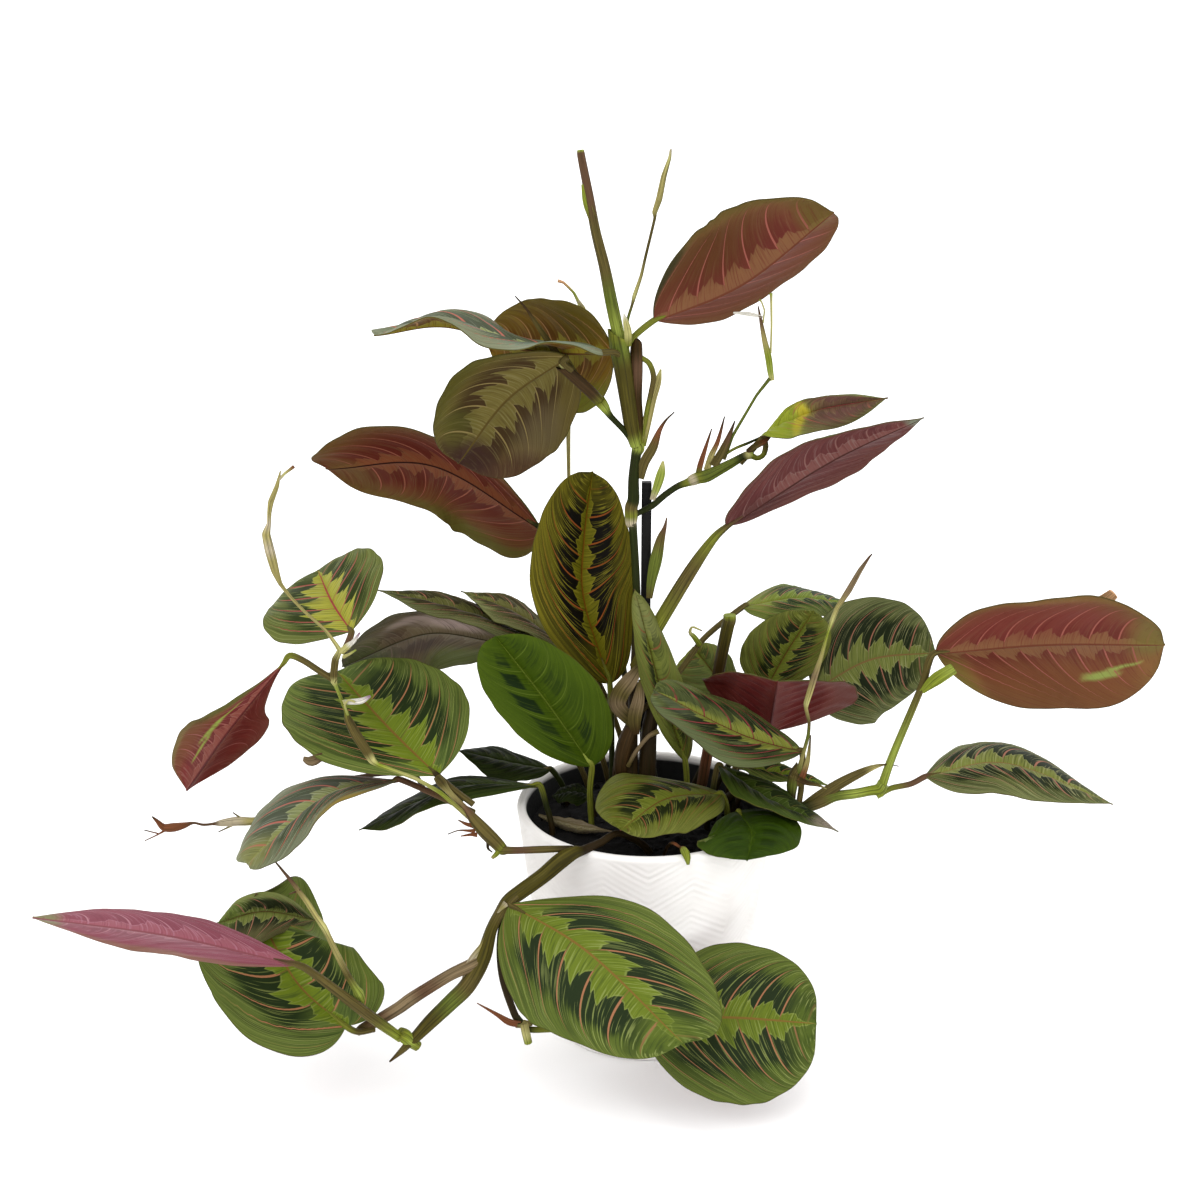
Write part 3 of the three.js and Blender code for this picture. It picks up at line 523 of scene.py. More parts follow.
# A strand has its colours and its places, each as x, y, z and radius.
STEMS = {
    "main_stem": {
        "stalk": ("bbkkddwmodddlmoolgoopppl", [
            (-8, 0, 85, 4), (-8, 0, 120, 4), (-7, 0, 150, 3), (-6, 1, 195, 1.8),
            (-5, 1, 226, 1.9), (-7, 0, 262, 2), (-8, 0, 266, 2.8), (-8, 0, 270, 3.2),
            (-8, 0, 274, 3.1), (-7, 0, 278, 2.9), (-7, 0, 288, 2.6), (-6, 0, 299, 2.4),
            (-5, 0, 303, 3.1), (-6, 0, 307, 2.7), (-8, 0, 326, 2.4), (-12, 0, 345, 2.5),
            (-15, 0, 359, 2.9), (-18, 0, 373, 2.9), (-21, 0, 388, 2.6), (-25, 0, 404, 2.3),
            (-28, 0, 420, 2.1), (-31, 0, 435, 1.9), (-31.6, 0, 438.5, 1.8), (-31.8, 0, 440, 1.5),
        ]),
        "spike_bract": ("onn", [(-26, -1, 409, 1.8), (-29, -1, 417, 1.7), (-31, -1, 425, 0.5)]),
        "left_sheath": ("luuugm", [
            (-6, -1, 304, 2.6), (-8, -1, 312, 3.3), (-10, -1, 326, 3.7), (-12, -1, 340, 4.2),
            (-14, -1, 351, 4.4), (-15, -1, 357, 4),
        ]),
        # The sheath's right side, in darker browns beside left_sheath: its own colour deepened as painted
        # shade.
        "shaded_sheath_side": ("mccpcc", [
            (-5, 1, 304, 2.4), (-5, 1, 314, 2.6), (-6, 1, 326, 2.8), (-6, 1, 340, 3),
            (-6, 1, 350, 2.8), (-6, 1, 355, 2.4),
        ]),
        "cream_bract": ("myyq", [
            (-10, -3, 352, 1.6), (-10, -3, 358, 1.8), (-11, -3, 363, 1.4), (-12, -3, 367, 0.3),
        ]),
        "left_branch": ("dddlm", [
            (-6, 0, 303, 1.4), (-11, -2, 311, 1.4), (-18, -4, 319, 1.5), (-21, -6, 324, 2.4),
            (-23, -7, 327, 2.7),
        ]),
        "branch_sheath": ("mbbb", [
            (-22, -6, 325, 2.4), (-27, -8, 331, 2.6), (-34, -10, 338, 2.6), (-40, -12, 344, 2.6),
        ]),
        "branch_bud": ("yyq", [
            (-38, -12, 342, 1.4), (-41, -13, 346, 1.3), (-43, -13, 350, 0.4),
        ]),
        "left_spike": ("boobk", [
            (-37, -12, 342, 1.8), (-46, -16, 356, 1.5), (-51, -19, 364, 1.1), (-56, -21, 372, 0.6),
            (-61, -22, 378, 0.3),
        ]),
        "hook": ("mmoomm", [
            (-4, 1, 346, 1.2), (0, 1, 343, 1.3), (2, 1, 337, 1.3), (1, 1, 330, 1.2),
            (-1, 1, 320, 1.2), (-3, 1, 307, 1.2),
        ]),
        "right_bract": ("msssy", [
            (-3, 0, 304, 1.7), (-1, 1, 314, 2), (1.5, 2, 326, 2.1), (4, 3, 334, 1.8),
            (5.5, 3, 340, 0.4),
        ]),
        "pointed_bract": ("ooorbk", [
            (-4, 0, 288, 1.9), (-2, 0, 296, 2.4), (2, 1, 303, 2.3), (5, 1, 311, 1.2),
            (8, 1, 316, 0.6), (12, 1, 320, 0.3),
        ]),
        "pale_bract": ("wlly", [
            (2, 2, 277, 1.2), (4, 2, 283, 2), (6, 2, 290, 2.1), (7, 2, 296, 0.6),
        ]),
        "low_bract": ("oggopp", [
            (1, 0, 228, 1.5), (2, 0, 237, 2.3), (4, -1, 248, 3), (6, -1, 258, 2.2),
            (8, -1, 264, 1), (9, -1, 269, 0.3),
        ]),
        "right_branch": ("dddddmwmgggdyl", [
            (-8, 0, 269, 1.4), (-3, 3, 271, 1.4), (2, 2, 274, 1.6), (8, 3, 279, 1.6),
            (14, 4, 283, 1.6), (19, 4, 285, 2), (21, 4, 286, 2.7), (24, 5, 287, 2.9),
            (28, 5, 288, 3.1), (34, 5, 291, 2.6), (40, 6, 294, 2.2), (45, 6, 297, 1.9),
            (48, 6, 298, 2.1), (50, 6, 298.5, 1.8),
        ]),
        "loop": ("mmmoo", [
            (49, 6, 298, 1.6), (52, 6, 296.5, 1.3), (55, 6, 298, 1.3), (56, 6, 302, 1.4),
            (55.5, 6, 305, 1.3),
        ]),
        "dry_bract_high": ("borb", [
            (47, 5, 300, 1.2), (51, 5, 303, 1.7), (55, 5, 305, 1.4), (58, 5, 307, 0.4),
        ]),
        "right_bract_left": ("grrb", [
            (24, 5, 289, 1.4), (25, 5, 294, 1.4), (27, 5, 301, 1), (30, 5, 311, 0.3),
        ]),
        "right_bract_middle": ("ssrk", [
            (28, 5, 291, 1.6), (30, 5, 298, 1.5), (33, 5, 305, 1.1), (36, 5, 317, 0.3),
        ]),
        "right_bract_right": ("oopk", [
            (31, 5, 293, 2.2), (35, 5, 300, 2), (38, 5, 307, 1.3), (41, 5, 315, 0.3),
        ]),
        "twig": ("mmdd", [
            (35, 6, 297, 0.7), (41, 6, 301, 0.7), (48, 6, 304, 0.7), (54, 6, 307, 0.4),
        ]),
        "papery_bract": ("uoeoeo", [
            (-4, -2, 160, 1.8), (-9, -3, 167, 3.4), (-14, -4, 174, 4), (-13, -4, 180, 4.4),
            (-8, -3, 187, 3.8), (-3, -2, 194, 1.6),
        ]),
        "folded_bract": ("boeo", [
            (-5, -4, 158, 1.6), (-6, -5, 167, 3.4), (-4, -5, 177, 3), (-3, -4, 187, 1),
        ]),
        "brown_sheath": ("cbbbc", [
            (-12, -1, 134, 3), (-12, -1, 142, 4), (-10, -1, 152, 4.2), (-7, -1, 161, 3.4),
            (-4, -1, 170, 2.4),
        ]),
        # A black stalk filling the gap among the stems at the plant's base: painted shade.
        "painted_shade_stalk": ("kkkkkk", [
            (1, 1, 85, 4), (1, 1, 115, 4.4), (1, 1, 140, 4.4), (2, 2, 160, 3.8), (5, 3, 174, 3),
            (9, 4, 185, 2),
        ]),
        "short_stalk": ("kkcb", [
            (-14, 8, 85, 2), (-15, 8, 115, 2), (-14, 7, 135, 2.4), (-12, 6, 152, 1.6),
        ]),
        "bent_stalk": ("kkdm", [
            (6, 6, 85, 1.8), (6, 5, 115, 1.8), (3, 4, 140, 1.8), (-1, 2, 158, 1.6),
        ]),
        "low_twig": ("oeeo", [
            (-9, -5, 141, 1.1), (-5, -5, 149, 1.1), (1, -5, 157, 1.1), (6, -5, 160, 1.5),
        ]),
        "rim_bract": ("bbbrb", [
            (7, -40, 106, 0.8), (9, -49, 118, 0.8), (11, -56, 124, 1.3), (13, -57, 124, 1.7),
            (16, -58, 122, 1.2),
        ]),
        "rim_bud": ("rlnl", [
            (16, -58, 122, 1.3), (17, -61, 122, 1.9), (18, -65, 121, 1.7), (18.5, -67, 118, 0.7),
        ]),
    },
    "cut_stem": {
        "stalk": ("bbrcuon", [
            (27, 14, 85, 2.4), (28, 14, 112, 2.6), (34, 20, 150, 3), (37, 22, 180, 3),
            (41, 21, 205, 3.2), (42, 21, 209, 3.2), (42, 21, 212, 3.2),
        ]),
    },
    "left_stem": {
        "runner": ("kkkkkuuuuuouuoguuuob", [
            (2, -30, 85, 2), (1, -34, 108, 2), (-13, -44, 123, 1.7), (-23, -52, 122, 1.9),
            (-31, -58, 121, 2.3), (-36, -63, 122, 3.4), (-42, -66, 119, 3.9), (-50, -69, 113, 3.7),
            (-60, -73, 107, 3.6), (-66, -75, 103, 3.3), (-70, -77, 98, 2.6), (-74, -79, 90, 2.8),
            (-78, -82, 77, 3.8), (-85, -86, 65, 4), (-93, -90, 58, 3.8), (-102, -95, 51, 3.4),
            (-109, -99, 45, 2.6), (-112, -101, 43, 2), (-115, -102, 40, 1.5), (-121, -104, 35, 0.4),
        ]),
        "upper": ("kopomooopsoo", [
            (-36, -62, 124, 1.4), (-49, -63, 124, 1.7), (-61, -62, 123, 1.7), (-67, -62, 123, 1.9),
            (-69, -61, 123, 2.7), (-72, -60, 126, 3.1), (-77, -59, 131, 3.3), (-82, -57, 136, 2.8),
            (-86, -54, 140, 1.7), (-94, -52, 148, 1.4), (-98, -51, 153, 2.3), (-100, -51, 156, 1.9),
        ]),
        "bract_one": ("rrp", [(-82, -58, 134, 1.4), (-86, -58, 135, 1), (-90, -58, 137, 0.3)]),
        "bract_two": ("rrpk", [
            (-82, -59, 132, 1.4), (-85, -59, 132, 0.8), (-90, -59, 132, 0.4), (-95, -59, 130, 0.3),
        ]),
        "bract_three": ("rrr", [(-81, -59, 130, 1.4), (-84, -59, 130, 0.9), (-89, -59, 129, 0.3)]),
        "root": ("kkk", [(-76, -60, 126, 0.9), (-76, -60, 123, 0.6), (-74, -60, 121, 0.3)]),
        "left_stub": ("mns", [(-70, -62, 124, 1.4), (-72, -62, 121, 1.2), (-74, -62, 119, 0.8)]),
        "second": ("oeepeepow", [
            (-77, -82, 77, 3.1), (-84, -84, 74, 3.1), (-93, -87, 71, 2.8), (-105, -91, 65, 2.9),
            (-112, -93, 61, 3), (-117, -95, 58, 2.9), (-127, -98, 53, 2.7), (-134, -100, 50, 2.1),
            (-136, -101, 48, 1.4),
        ]),
        "papery_bract": ("oswwp", [
            (-75, -80, 88, 1.9), (-78, -82, 83, 2.3), (-83, -84, 77, 2.3), (-86, -85, 70, 1.5),
            (-89, -86, 63, 0.4),
        ]),
        "fringe_bract": ("wsw", [(-67, -78, 104, 1.8), (-69, -79, 102, 1), (-71, -79, 99, 0.3)]),
        "down": ("ddkkd", [
            (-67, -76, 102, 1.4), (-70, -79, 85, 1.6), (-69, -83, 68, 1.8), (-64, -86, 51, 1.7),
            (-61, -86, 45, 1.9),
        ]),
        "low_bract": ("rrrr", [
            (-61, -87, 45, 1.9), (-66, -88, 47, 1.9), (-72, -88, 51, 1.1), (-81, -87, 56, 0.3),
        ]),
        "low_node": ("oso", [(-63, -86, 44, 1.9), (-59, -86, 44, 1.9), (-55, -86, 44, 0.9)]),
        "stub": ("syn", [(-59, -87, 45, 2), (-58, -88, 40, 2), (-57, -88, 35, 1.9)]),
        "green_node": ("mlnm", [
            (-108, -99, 40, 2.3), (-112, -100, 44, 3), (-114, -101, 47, 3.3), (-116, -102, 49, 3),
        ]),
    },
    "right_stem": {
        "stalk": ("kkkkkdoglnnl", [
            (32, 4, 85, 2.2), (34, 4, 108, 2.2), (46, 1, 124, 2.2), (60, -4, 126, 2.2),
            (76, -8, 120, 2.4), (80, -8, 120, 3), (88, -8, 123, 3), (95, -8, 126, 2.6),
            (105, -7, 127, 2.5), (112, -6, 128, 2.5), (117, -6, 129, 2.9), (119, -6, 132, 3),
        ]),
        "pointed_bract": ("dooosbk", [
            (78, -8, 120, 2.5), (87, -8, 127, 3.3), (97, -8, 134, 3.1), (107, -7, 139, 2.4),
            (114, -7, 142, 1.4), (120, -7, 143, 0.4), (126, -7, 142, 0.3),
        ]),
        "upright_sheath": ("kkgoo", [
            (73, -8, 120, 2), (73, -8, 126, 2), (73, -8, 132, 2.7), (74, -8, 138, 2.7),
            (76, -8, 142, 2.2),
        ]),
        "brown_bract": ("orsb", [
            (76, -9, 132, 1.7), (78, -10, 139, 1.6), (80, -10, 147, 1.2), (81, -10, 160, 0.3),
        ]),
        "neck_bract": ("nnl", [(135, -7, 182, 1.4), (141, -9, 190, 3.6), (149, -10, 196, 3.2)]),
        "side_bract": ("obos", [
            (72, -10, 139, 1.5), (79, -10, 135, 1.4), (86, -10, 133, 0.8), (90, -10, 131, 0.3),
        ]),
    },
    "flower_stalk_left": {
        "stalk": ("snynyooomlyooysssssswswssss", [
            (-85, -54, 136, 1.1), (-98, -58, 151, 1), (-109, -62, 160, 0.9), (-125, -67, 169, 1),
            (-128, -68, 172, 1.8), (-130, -68, 176, 2.2), (-135, -68, 185, 2.4),
            (-138, -68, 192, 1.9), (-139, -67, 196, 1), (-143, -66, 207, 0.8),
            (-144, -66, 210, 1.5), (-144, -66, 213, 1.7), (-143, -65, 220, 1.7),
            (-141, -65, 225, 1.1), (-147, -64, 234, 0.7), (-156, -64, 243, 0.7),
            (-162, -64, 250, 0.7), (-166, -64, 256, 1), (-168, -64, 262, 1.8),
            (-169, -64, 267, 2.1), (-170, -64, 272, 2.2), (-171, -64, 279, 1.9),
            (-169.5, -64, 284, 1), (-169, -64, 289, 1), (-168, -64, 294, 1.3), (-165, -64, 301, 1),
            (-163, -64, 308, 0.3),
        ]),
        "tip": ("wyr", [(-164, -64, 304, 0.7), (-161, -64, 307, 0.6), (-157, -64, 310, 0.8)]),
        "low_curl": ("lyyy", [
            (-138, -68, 194, 0.6), (-139, -70, 200, 0.5), (-137, -71, 203, 0.5),
            (-134, -71, 202, 0.5),
        ]),
        "low_petal": ("yqqv", [
            (-140, -68, 201, 1), (-136, -70, 202, 1.5), (-131, -71, 203, 1.5), (-127, -71, 205, 0.6),
        ]),
        "high_bud": ("yyq", [(-140, -65, 224, 1.5), (-137, -66, 227, 1.6), (-135, -67, 229, 1)]),
        "high_petal": ("qqv", [(-137, -66, 227, 1), (-134, -67, 230, 1), (-131, -67, 234, 0.4)]),
        "high_curl": ("yyl", [(-139, -66, 222, 0.9), (-136, -68, 224, 0.6), (-133, -68, 226, 0.4)]),
    },
    "flower_stalk_top": {
        "stalk": ("ggoysoosssyw", [
            (-12, 0, 352, 1), (-10, 2, 364, 0.7), (-8, 5, 370, 0.7), (-7, 5, 374, 1),
            (-4, 5, 383, 0.8), (-2, 5, 392, 0.7), (2, 5, 409, 0.7), (2, 5, 412, 1.2),
            (4, 5, 418, 1.5), (6, 5, 428, 1.3), (8.5, 5, 436, 0.8), (9, 5, 440, 0.5),
        ]),
    },
    "flower_stalk_right": {
        "stalk": ("ogggg", [
            (36, 6, 296, 1.2), (40, 6, 307, 0.8), (46, 6, 318, 0.7), (51, 6, 327, 0.7),
            (57, 6, 335, 0.9),
        ]),
        "bract": ("ylnspb", [
            (58, 6, 334, 1.2), (57, 6, 339, 1.5), (56, 6, 345, 1.6), (54, 6, 353, 1.3),
            (52, 6, 362, 0.8), (50.5, 6, 369, 0.3),
        ]),
        "style": ("yyyl", [
            (57, 6, 347, 0.5), (57, 6, 360, 0.5), (56.5, 6, 372, 0.6), (56.3, 6, 375, 0.8),
        ]),
        "curl": ("yyyl", [
            (53, 6, 361, 0.4), (53.5, 6, 367, 0.4), (52, 6, 371, 0.4), (51, 6, 372, 0.5),
        ]),
        "petal": ("qqq", [(53, 6, 364, 0.5), (46, 6, 365.5, 1), (39, 6, 366, 0.4)]),
    },
    "flower_stalk_far_right": {
        "stalk": ("gsgosysesnyseepb", [
            (76, -9, 140, 1.6), (77, -12, 149, 1), (79, -16, 162, 0.9), (79, -18, 170, 0.8),
            (77, -20, 178, 0.9), (77, -20, 181, 1.3), (78.5, -20, 187, 1.5), (80.5, -20, 195, 1.5),
            (83, -20, 204, 1), (86, -20, 217, 0.7), (88, -20, 224, 1.2), (90, -20, 230, 1.1),
            (95, -19, 238, 1.5), (100, -19, 248, 1.2), (104, -18, 254, 0.6), (105.5, -18, 256, 0.3),
        ]),
    },
    "flower_stalk_back": {
        "stalk": ("oosssssw", [
            (-34, 55, 224, 1.2), (-39, 62, 244, 0.9), (-39, 64, 271, 0.9), (-39, 64, 300, 1.2),
            (-35, 66, 327, 1), (-31, 66, 350, 0.9), (-31, 66, 358, 0.9), (-34, 66, 362, 1),
        ]),
        "tip": ("ylaa", [(-33, 66, 360, 1), (-36, 66, 366, 0.7), (-41, 66, 371, 0.7), (-44, 66, 372, 0.9)]),
    },
    "dried_stalk": {
        "stalk": ("bbbommswwppprrrrb", [
            (-108, -36, 143, 1.1), (-118, -16, 142, 1.2), (-153, 8, 128, 1), (-180, 6, 118, 0.8),
            (-190, 5, 112, 0.8), (-196, 5, 108, 1.2), (-201, 5, 106, 2), (-209, 7, 105, 2.4),
            (-217, 7, 104, 1.8), (-221, 6, 104, 0.8), (-226, 5, 104, 0.7), (-231, 5, 105, 0.7),
            (-236, 4, 104, 1.7), (-241, 4, 103, 2.3), (-246, 4, 103, 1.9), (-249, 3, 107, 1),
            (-251, 2, 110, 0.4),
        ]),
        "high_hair": ("sb", [(-206, 7, 106, 0.6), (-211, 7, 110, 0.3)]),
        "low_hair": ("sb", [(-211, 7, 103, 0.6), (-219, 7, 99, 0.3)]),
        "long_thread": ("rrp", [(-245, 3, 102, 0.7), (-250, 3, 99, 0.4), (-256, 3, 96, 0.3)]),
        "short_thread": ("rb", [(-249, 3, 100, 0.4), (-256, 3, 102, 0.3)]),
    },
    "flower_stalk_low": {
        "stalk": ("nllossysspb", [
            (-132, -108, 70, 1.8), (-133, -110, 75, 2.4), (-134, -111, 78, 1.8),
            (-137, -113, 86, 1.5), (-141, -115, 98, 1.4), (-144, -116, 107, 1.3),
            (-146, -117, 113, 1.5), (-149, -117, 118, 1.2), (-153, -115, 124, 1.2),
            (-160, -111, 132, 0.9), (-167.5, -106, 139, 0.4),
        ]),
        "side_hair": ("bp", [(-156, -113, 129, 0.6), (-161, -113, 127, 0.3)]),
    },
}

# Small tools

def paint(code, strength=COLOUR_SHARE):
    """A plant colour as seen in this light, as the linear colour that a shader takes."""
    parts = [int(code[i:i + 2], 16) / 255 for i in (1, 3, 5)]
    linear = [p / 12.92 if p <= 0.04045 else ((p + 0.055) / 1.055) ** 2.4 for p in parts]
    return tuple(p * strength for p in linear) + (1,)


def only(piece):
    bpy.ops.object.select_all(action="DESELECT")
    piece.select_set(True)
    bpy.context.view_layer.objects.active = piece


def places_of(mesh):
    places = np.empty(len(mesh.vertices) * 3)
    mesh.vertices.foreach_get("co", places)
    return places.reshape(-1, 3)


def sheet(name, columns, rows, place):
    """A grid, shaped by place(across, along), which run from 0 to 1 and give millimetres."""
    bpy.ops.object.select_all(action="DESELECT")
    bpy.ops.mesh.primitive_grid_add(
        x_subdivisions=columns, y_subdivisions=rows, size=2, calc_uvs=False)
    piece = bpy.context.object
    piece.name = piece.data.name = name
    flat = places_of(piece.data)
    across, along = (flat[:, 0] + 1) / 2, (flat[:, 1] + 1) / 2
    piece.data.vertices.foreach_set("co", (place(across, along) * MM).ravel())
    piece.data.update()
    return piece, across, along


def corner_map(piece, name, values):
    """A UV map from one pair of numbers for each corner."""
    layer = piece.data.uv_layers.new(name=name)
    layer.data.foreach_set("uv", np.ascontiguousarray(values, dtype=np.float32).ravel())


def corners(mesh):
    of = np.empty(len(mesh.loops), dtype=np.int32)
    mesh.loops.foreach_get("vertex_index", of)
    return of


def wash(piece, colours):
    """Each vertex's colour, with the share that it covers; it also carries painted shade and highlights."""
    layer = piece.data.color_attributes.new("wash", "FLOAT_COLOR", "POINT")
    layer.data.foreach_set("color", np.ascontiguousarray(colours, dtype=np.float32).ravel())


def close_seams(piece):
    only(piece)
    bpy.ops.object.mode_set(mode="EDIT")
    bpy.ops.mesh.select_all(action="SELECT")
    bpy.ops.mesh.remove_doubles(threshold=WELD_DISTANCE)
    bpy.ops.object.mode_set(mode="OBJECT")


def smooth(piece, angle):
    only(piece)
    bpy.ops.object.shade_smooth_by_angle(angle=math.radians(angle))


def apply(piece, modifier):
    only(piece)
    bpy.ops.object.modifier_apply(modifier=modifier.name)


def join(pieces, name):
    only(pieces[0])
    for piece in pieces[1:]:
        piece.select_set(True)
    if len(pieces) > 1:
        bpy.ops.object.join()
    pieces[0].name = pieces[0].data.name = name
    return pieces[0]


def settle(piece, node):
    """The finished piece stands in for its node, whose part is hidden, and hangs from the root body."""
    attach(piece, "root")
    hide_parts(node)


def unit(vectors):
    return vectors / np.linalg.norm(vectors, axis=-1, keepdims=True)


def curve_at(places, t, ease=1.0):
    """Points and directions on a smooth curve through the places, at shares t of its spans. Less
    ease makes straighter spans and sharper bends."""
    p = np.array(places, dtype=float)
    ends = np.vstack([2 * p[0] - p[1], p, 2 * p[-1] - p[-2]])
    u = np.clip(t, 0, 1) * (len(p) - 1)
    i = np.minimum(u.astype(int), len(p) - 2)
    f = (u - i)[:, None]
    a, b, c, d = ends[i], ends[i + 1], ends[i + 2], ends[i + 3]
    out, into = ease * (c - a) / 2, ease * (d - b) / 2
    points = ((2 * f**3 - 3 * f**2 + 1) * b + (f**3 - 2 * f**2 + f) * out
              + (-2 * f**3 + 3 * f**2) * c + (f**3 - f**2) * into)
    slopes = ((6 * f**2 - 6 * f) * b + (3 * f**2 - 4 * f + 1) * out
              + (-6 * f**2 + 6 * f) * c + (3 * f**2 - 2 * f) * into)
    return points, slopes


# Materials

class Finish:
    """One material, built node by node."""

    def __init__(self, name):
        self.material = bpy.data.materials.new(name)
        self.material.use_nodes = True
        self.tree = self.material.node_tree
        self.tree.nodes.clear()

    def feed(self, value, socket):
        if isinstance(value, bpy.types.NodeSocket):
            self.tree.links.new(value, socket)
        else:
            socket.default_value = value

    def node(self, kind, **values):
        made = self.tree.nodes.new(kind)
        for name, value in values.items():
            self.feed(value, made.inputs[name.replace("_", " ")])
        return made

    def sum(self, operation, *values):
        made = self.tree.nodes.new("ShaderNodeMath")
        made.operation = operation
        for value, socket in zip(values, made.inputs):
            self.feed(value, socket)
        return made.outputs[0]

    def times(self, one, other):
        return self.sum("MULTIPLY", one, other)

    def fade(self, value, low, high, start=0.0, end=1.0):
        """Runs smoothly from start to end while value goes from low to high."""
        made = self.tree.nodes.new("ShaderNodeMapRange")
        made.interpolation_type = "SMOOTHSTEP"
        for number, socket in zip((value, low, high, start, end), made.inputs):
            self.feed(number, socket)
        return made.outputs[0]

    def blend(self, share, under, over):
        made = self.tree.nodes.new("ShaderNodeMix")
        made.data_type = "RGBA"
        self.feed(share, made.inputs[0])
        self.feed(under, made.inputs[6])
        self.feed(over, made.inputs[7])
        return made.outputs[2]

    def profile(self, value, points):
        """A line through the points, read at value."""
        made = self.tree.nodes.new("ShaderNodeFloatCurve")
        line = made.mapping.curves[0]
        line.points[0].location = points[0]
        line.points[1].location = points[-1]
        for x, y in points[1:-1]:
            line.points.new(x, y)
        for point in line.points:
            point.handle_type = "VECTOR"
        made.mapping.update()
        self.feed(value, made.inputs["Value"])
        return made.outputs[0]

    def grain(self, vector, scale, detail=2.0, roughness=0.5):
        made = self.node("ShaderNodeTexNoise", Vector=vector, Scale=scale, Detail=detail,
                         Roughness=roughness)
        return made.outputs[0]

    def vector(self, x, y, z=0.0):
        return self.node("ShaderNodeCombineXYZ", X=x, Y=y, Z=z).outputs[0]

    def places(self, map_name):
        made = self.tree.nodes.new("ShaderNodeUVMap")
        made.uv_map = map_name
        return self.node("ShaderNodeSeparateXYZ", Vector=made.outputs[0]).outputs

    def wash_colour(self):
        made = self.tree.nodes.new("ShaderNodeAttribute")
        made.attribute_name = "wash"
        return made.outputs["Color"], made.outputs["Alpha"]

    def scaled(self, colour, factor):
        made = self.tree.nodes.new("ShaderNodeVectorMath")
        made.operation = "SCALE"
        self.feed(colour, made.inputs[0])
        self.feed(factor, made.inputs["Scale"])
        return made.outputs[0]

    def object_places(self):
        return self.tree.nodes.new("ShaderNodeTexCoord").outputs["Object"]

    def skin(self, colour, roughness, height=None, depth=0.0002, strength=0.5, glow=0.0,
             specular=0.5):
        shader = self.node("ShaderNodeBsdfPrincipled", Base_Color=colour, Roughness=roughness)
        shader.inputs["Specular IOR Level"].default_value = specular
        if height is not None:
            bump = self.node("ShaderNodeBump", Height=height, Strength=strength, Distance=depth)
            self.feed(bump.outputs[0], shader.inputs["Normal"])
        surface = shader.outputs[0]
        if glow:
            through = self.node("ShaderNodeBsdfTranslucent", Color=colour)
            mixed = self.node("ShaderNodeMixShader")
            mixed.inputs[0].default_value = glow
            self.feed(surface, mixed.inputs[1])
            self.feed(through.outputs[0], mixed.inputs[2])
            surface = mixed.outputs[0]
        out = self.tree.nodes.new("ShaderNodeOutputMaterial")
        self.feed(surface, out.inputs["Surface"])
        return self.material


# The outline of the pale feather between two veins: a lobe with a point and two smaller teeth.
LOBE = [(0, 0.52), (0.1, 0.56), (0.2, 0.8), (0.25, 0.66), (0.42, 0.92), (0.5, 1), (0.57, 0.78),
        (0.63, 0.56), (0.68, 0.66), (0.8, 0.46), (1, 0.3)]
FEATHER_LENGTH = [(0, 0.6), (0.15, 0.9), (0.35, 1), (0.68, 0.95), (0.86, 0.6), (1, 0.1)]
PATCH_LENGTH = [(0, 0), (0.1, 0), (0.2, 1), (0.8, 1), (0.92, 0), (1, 0)]


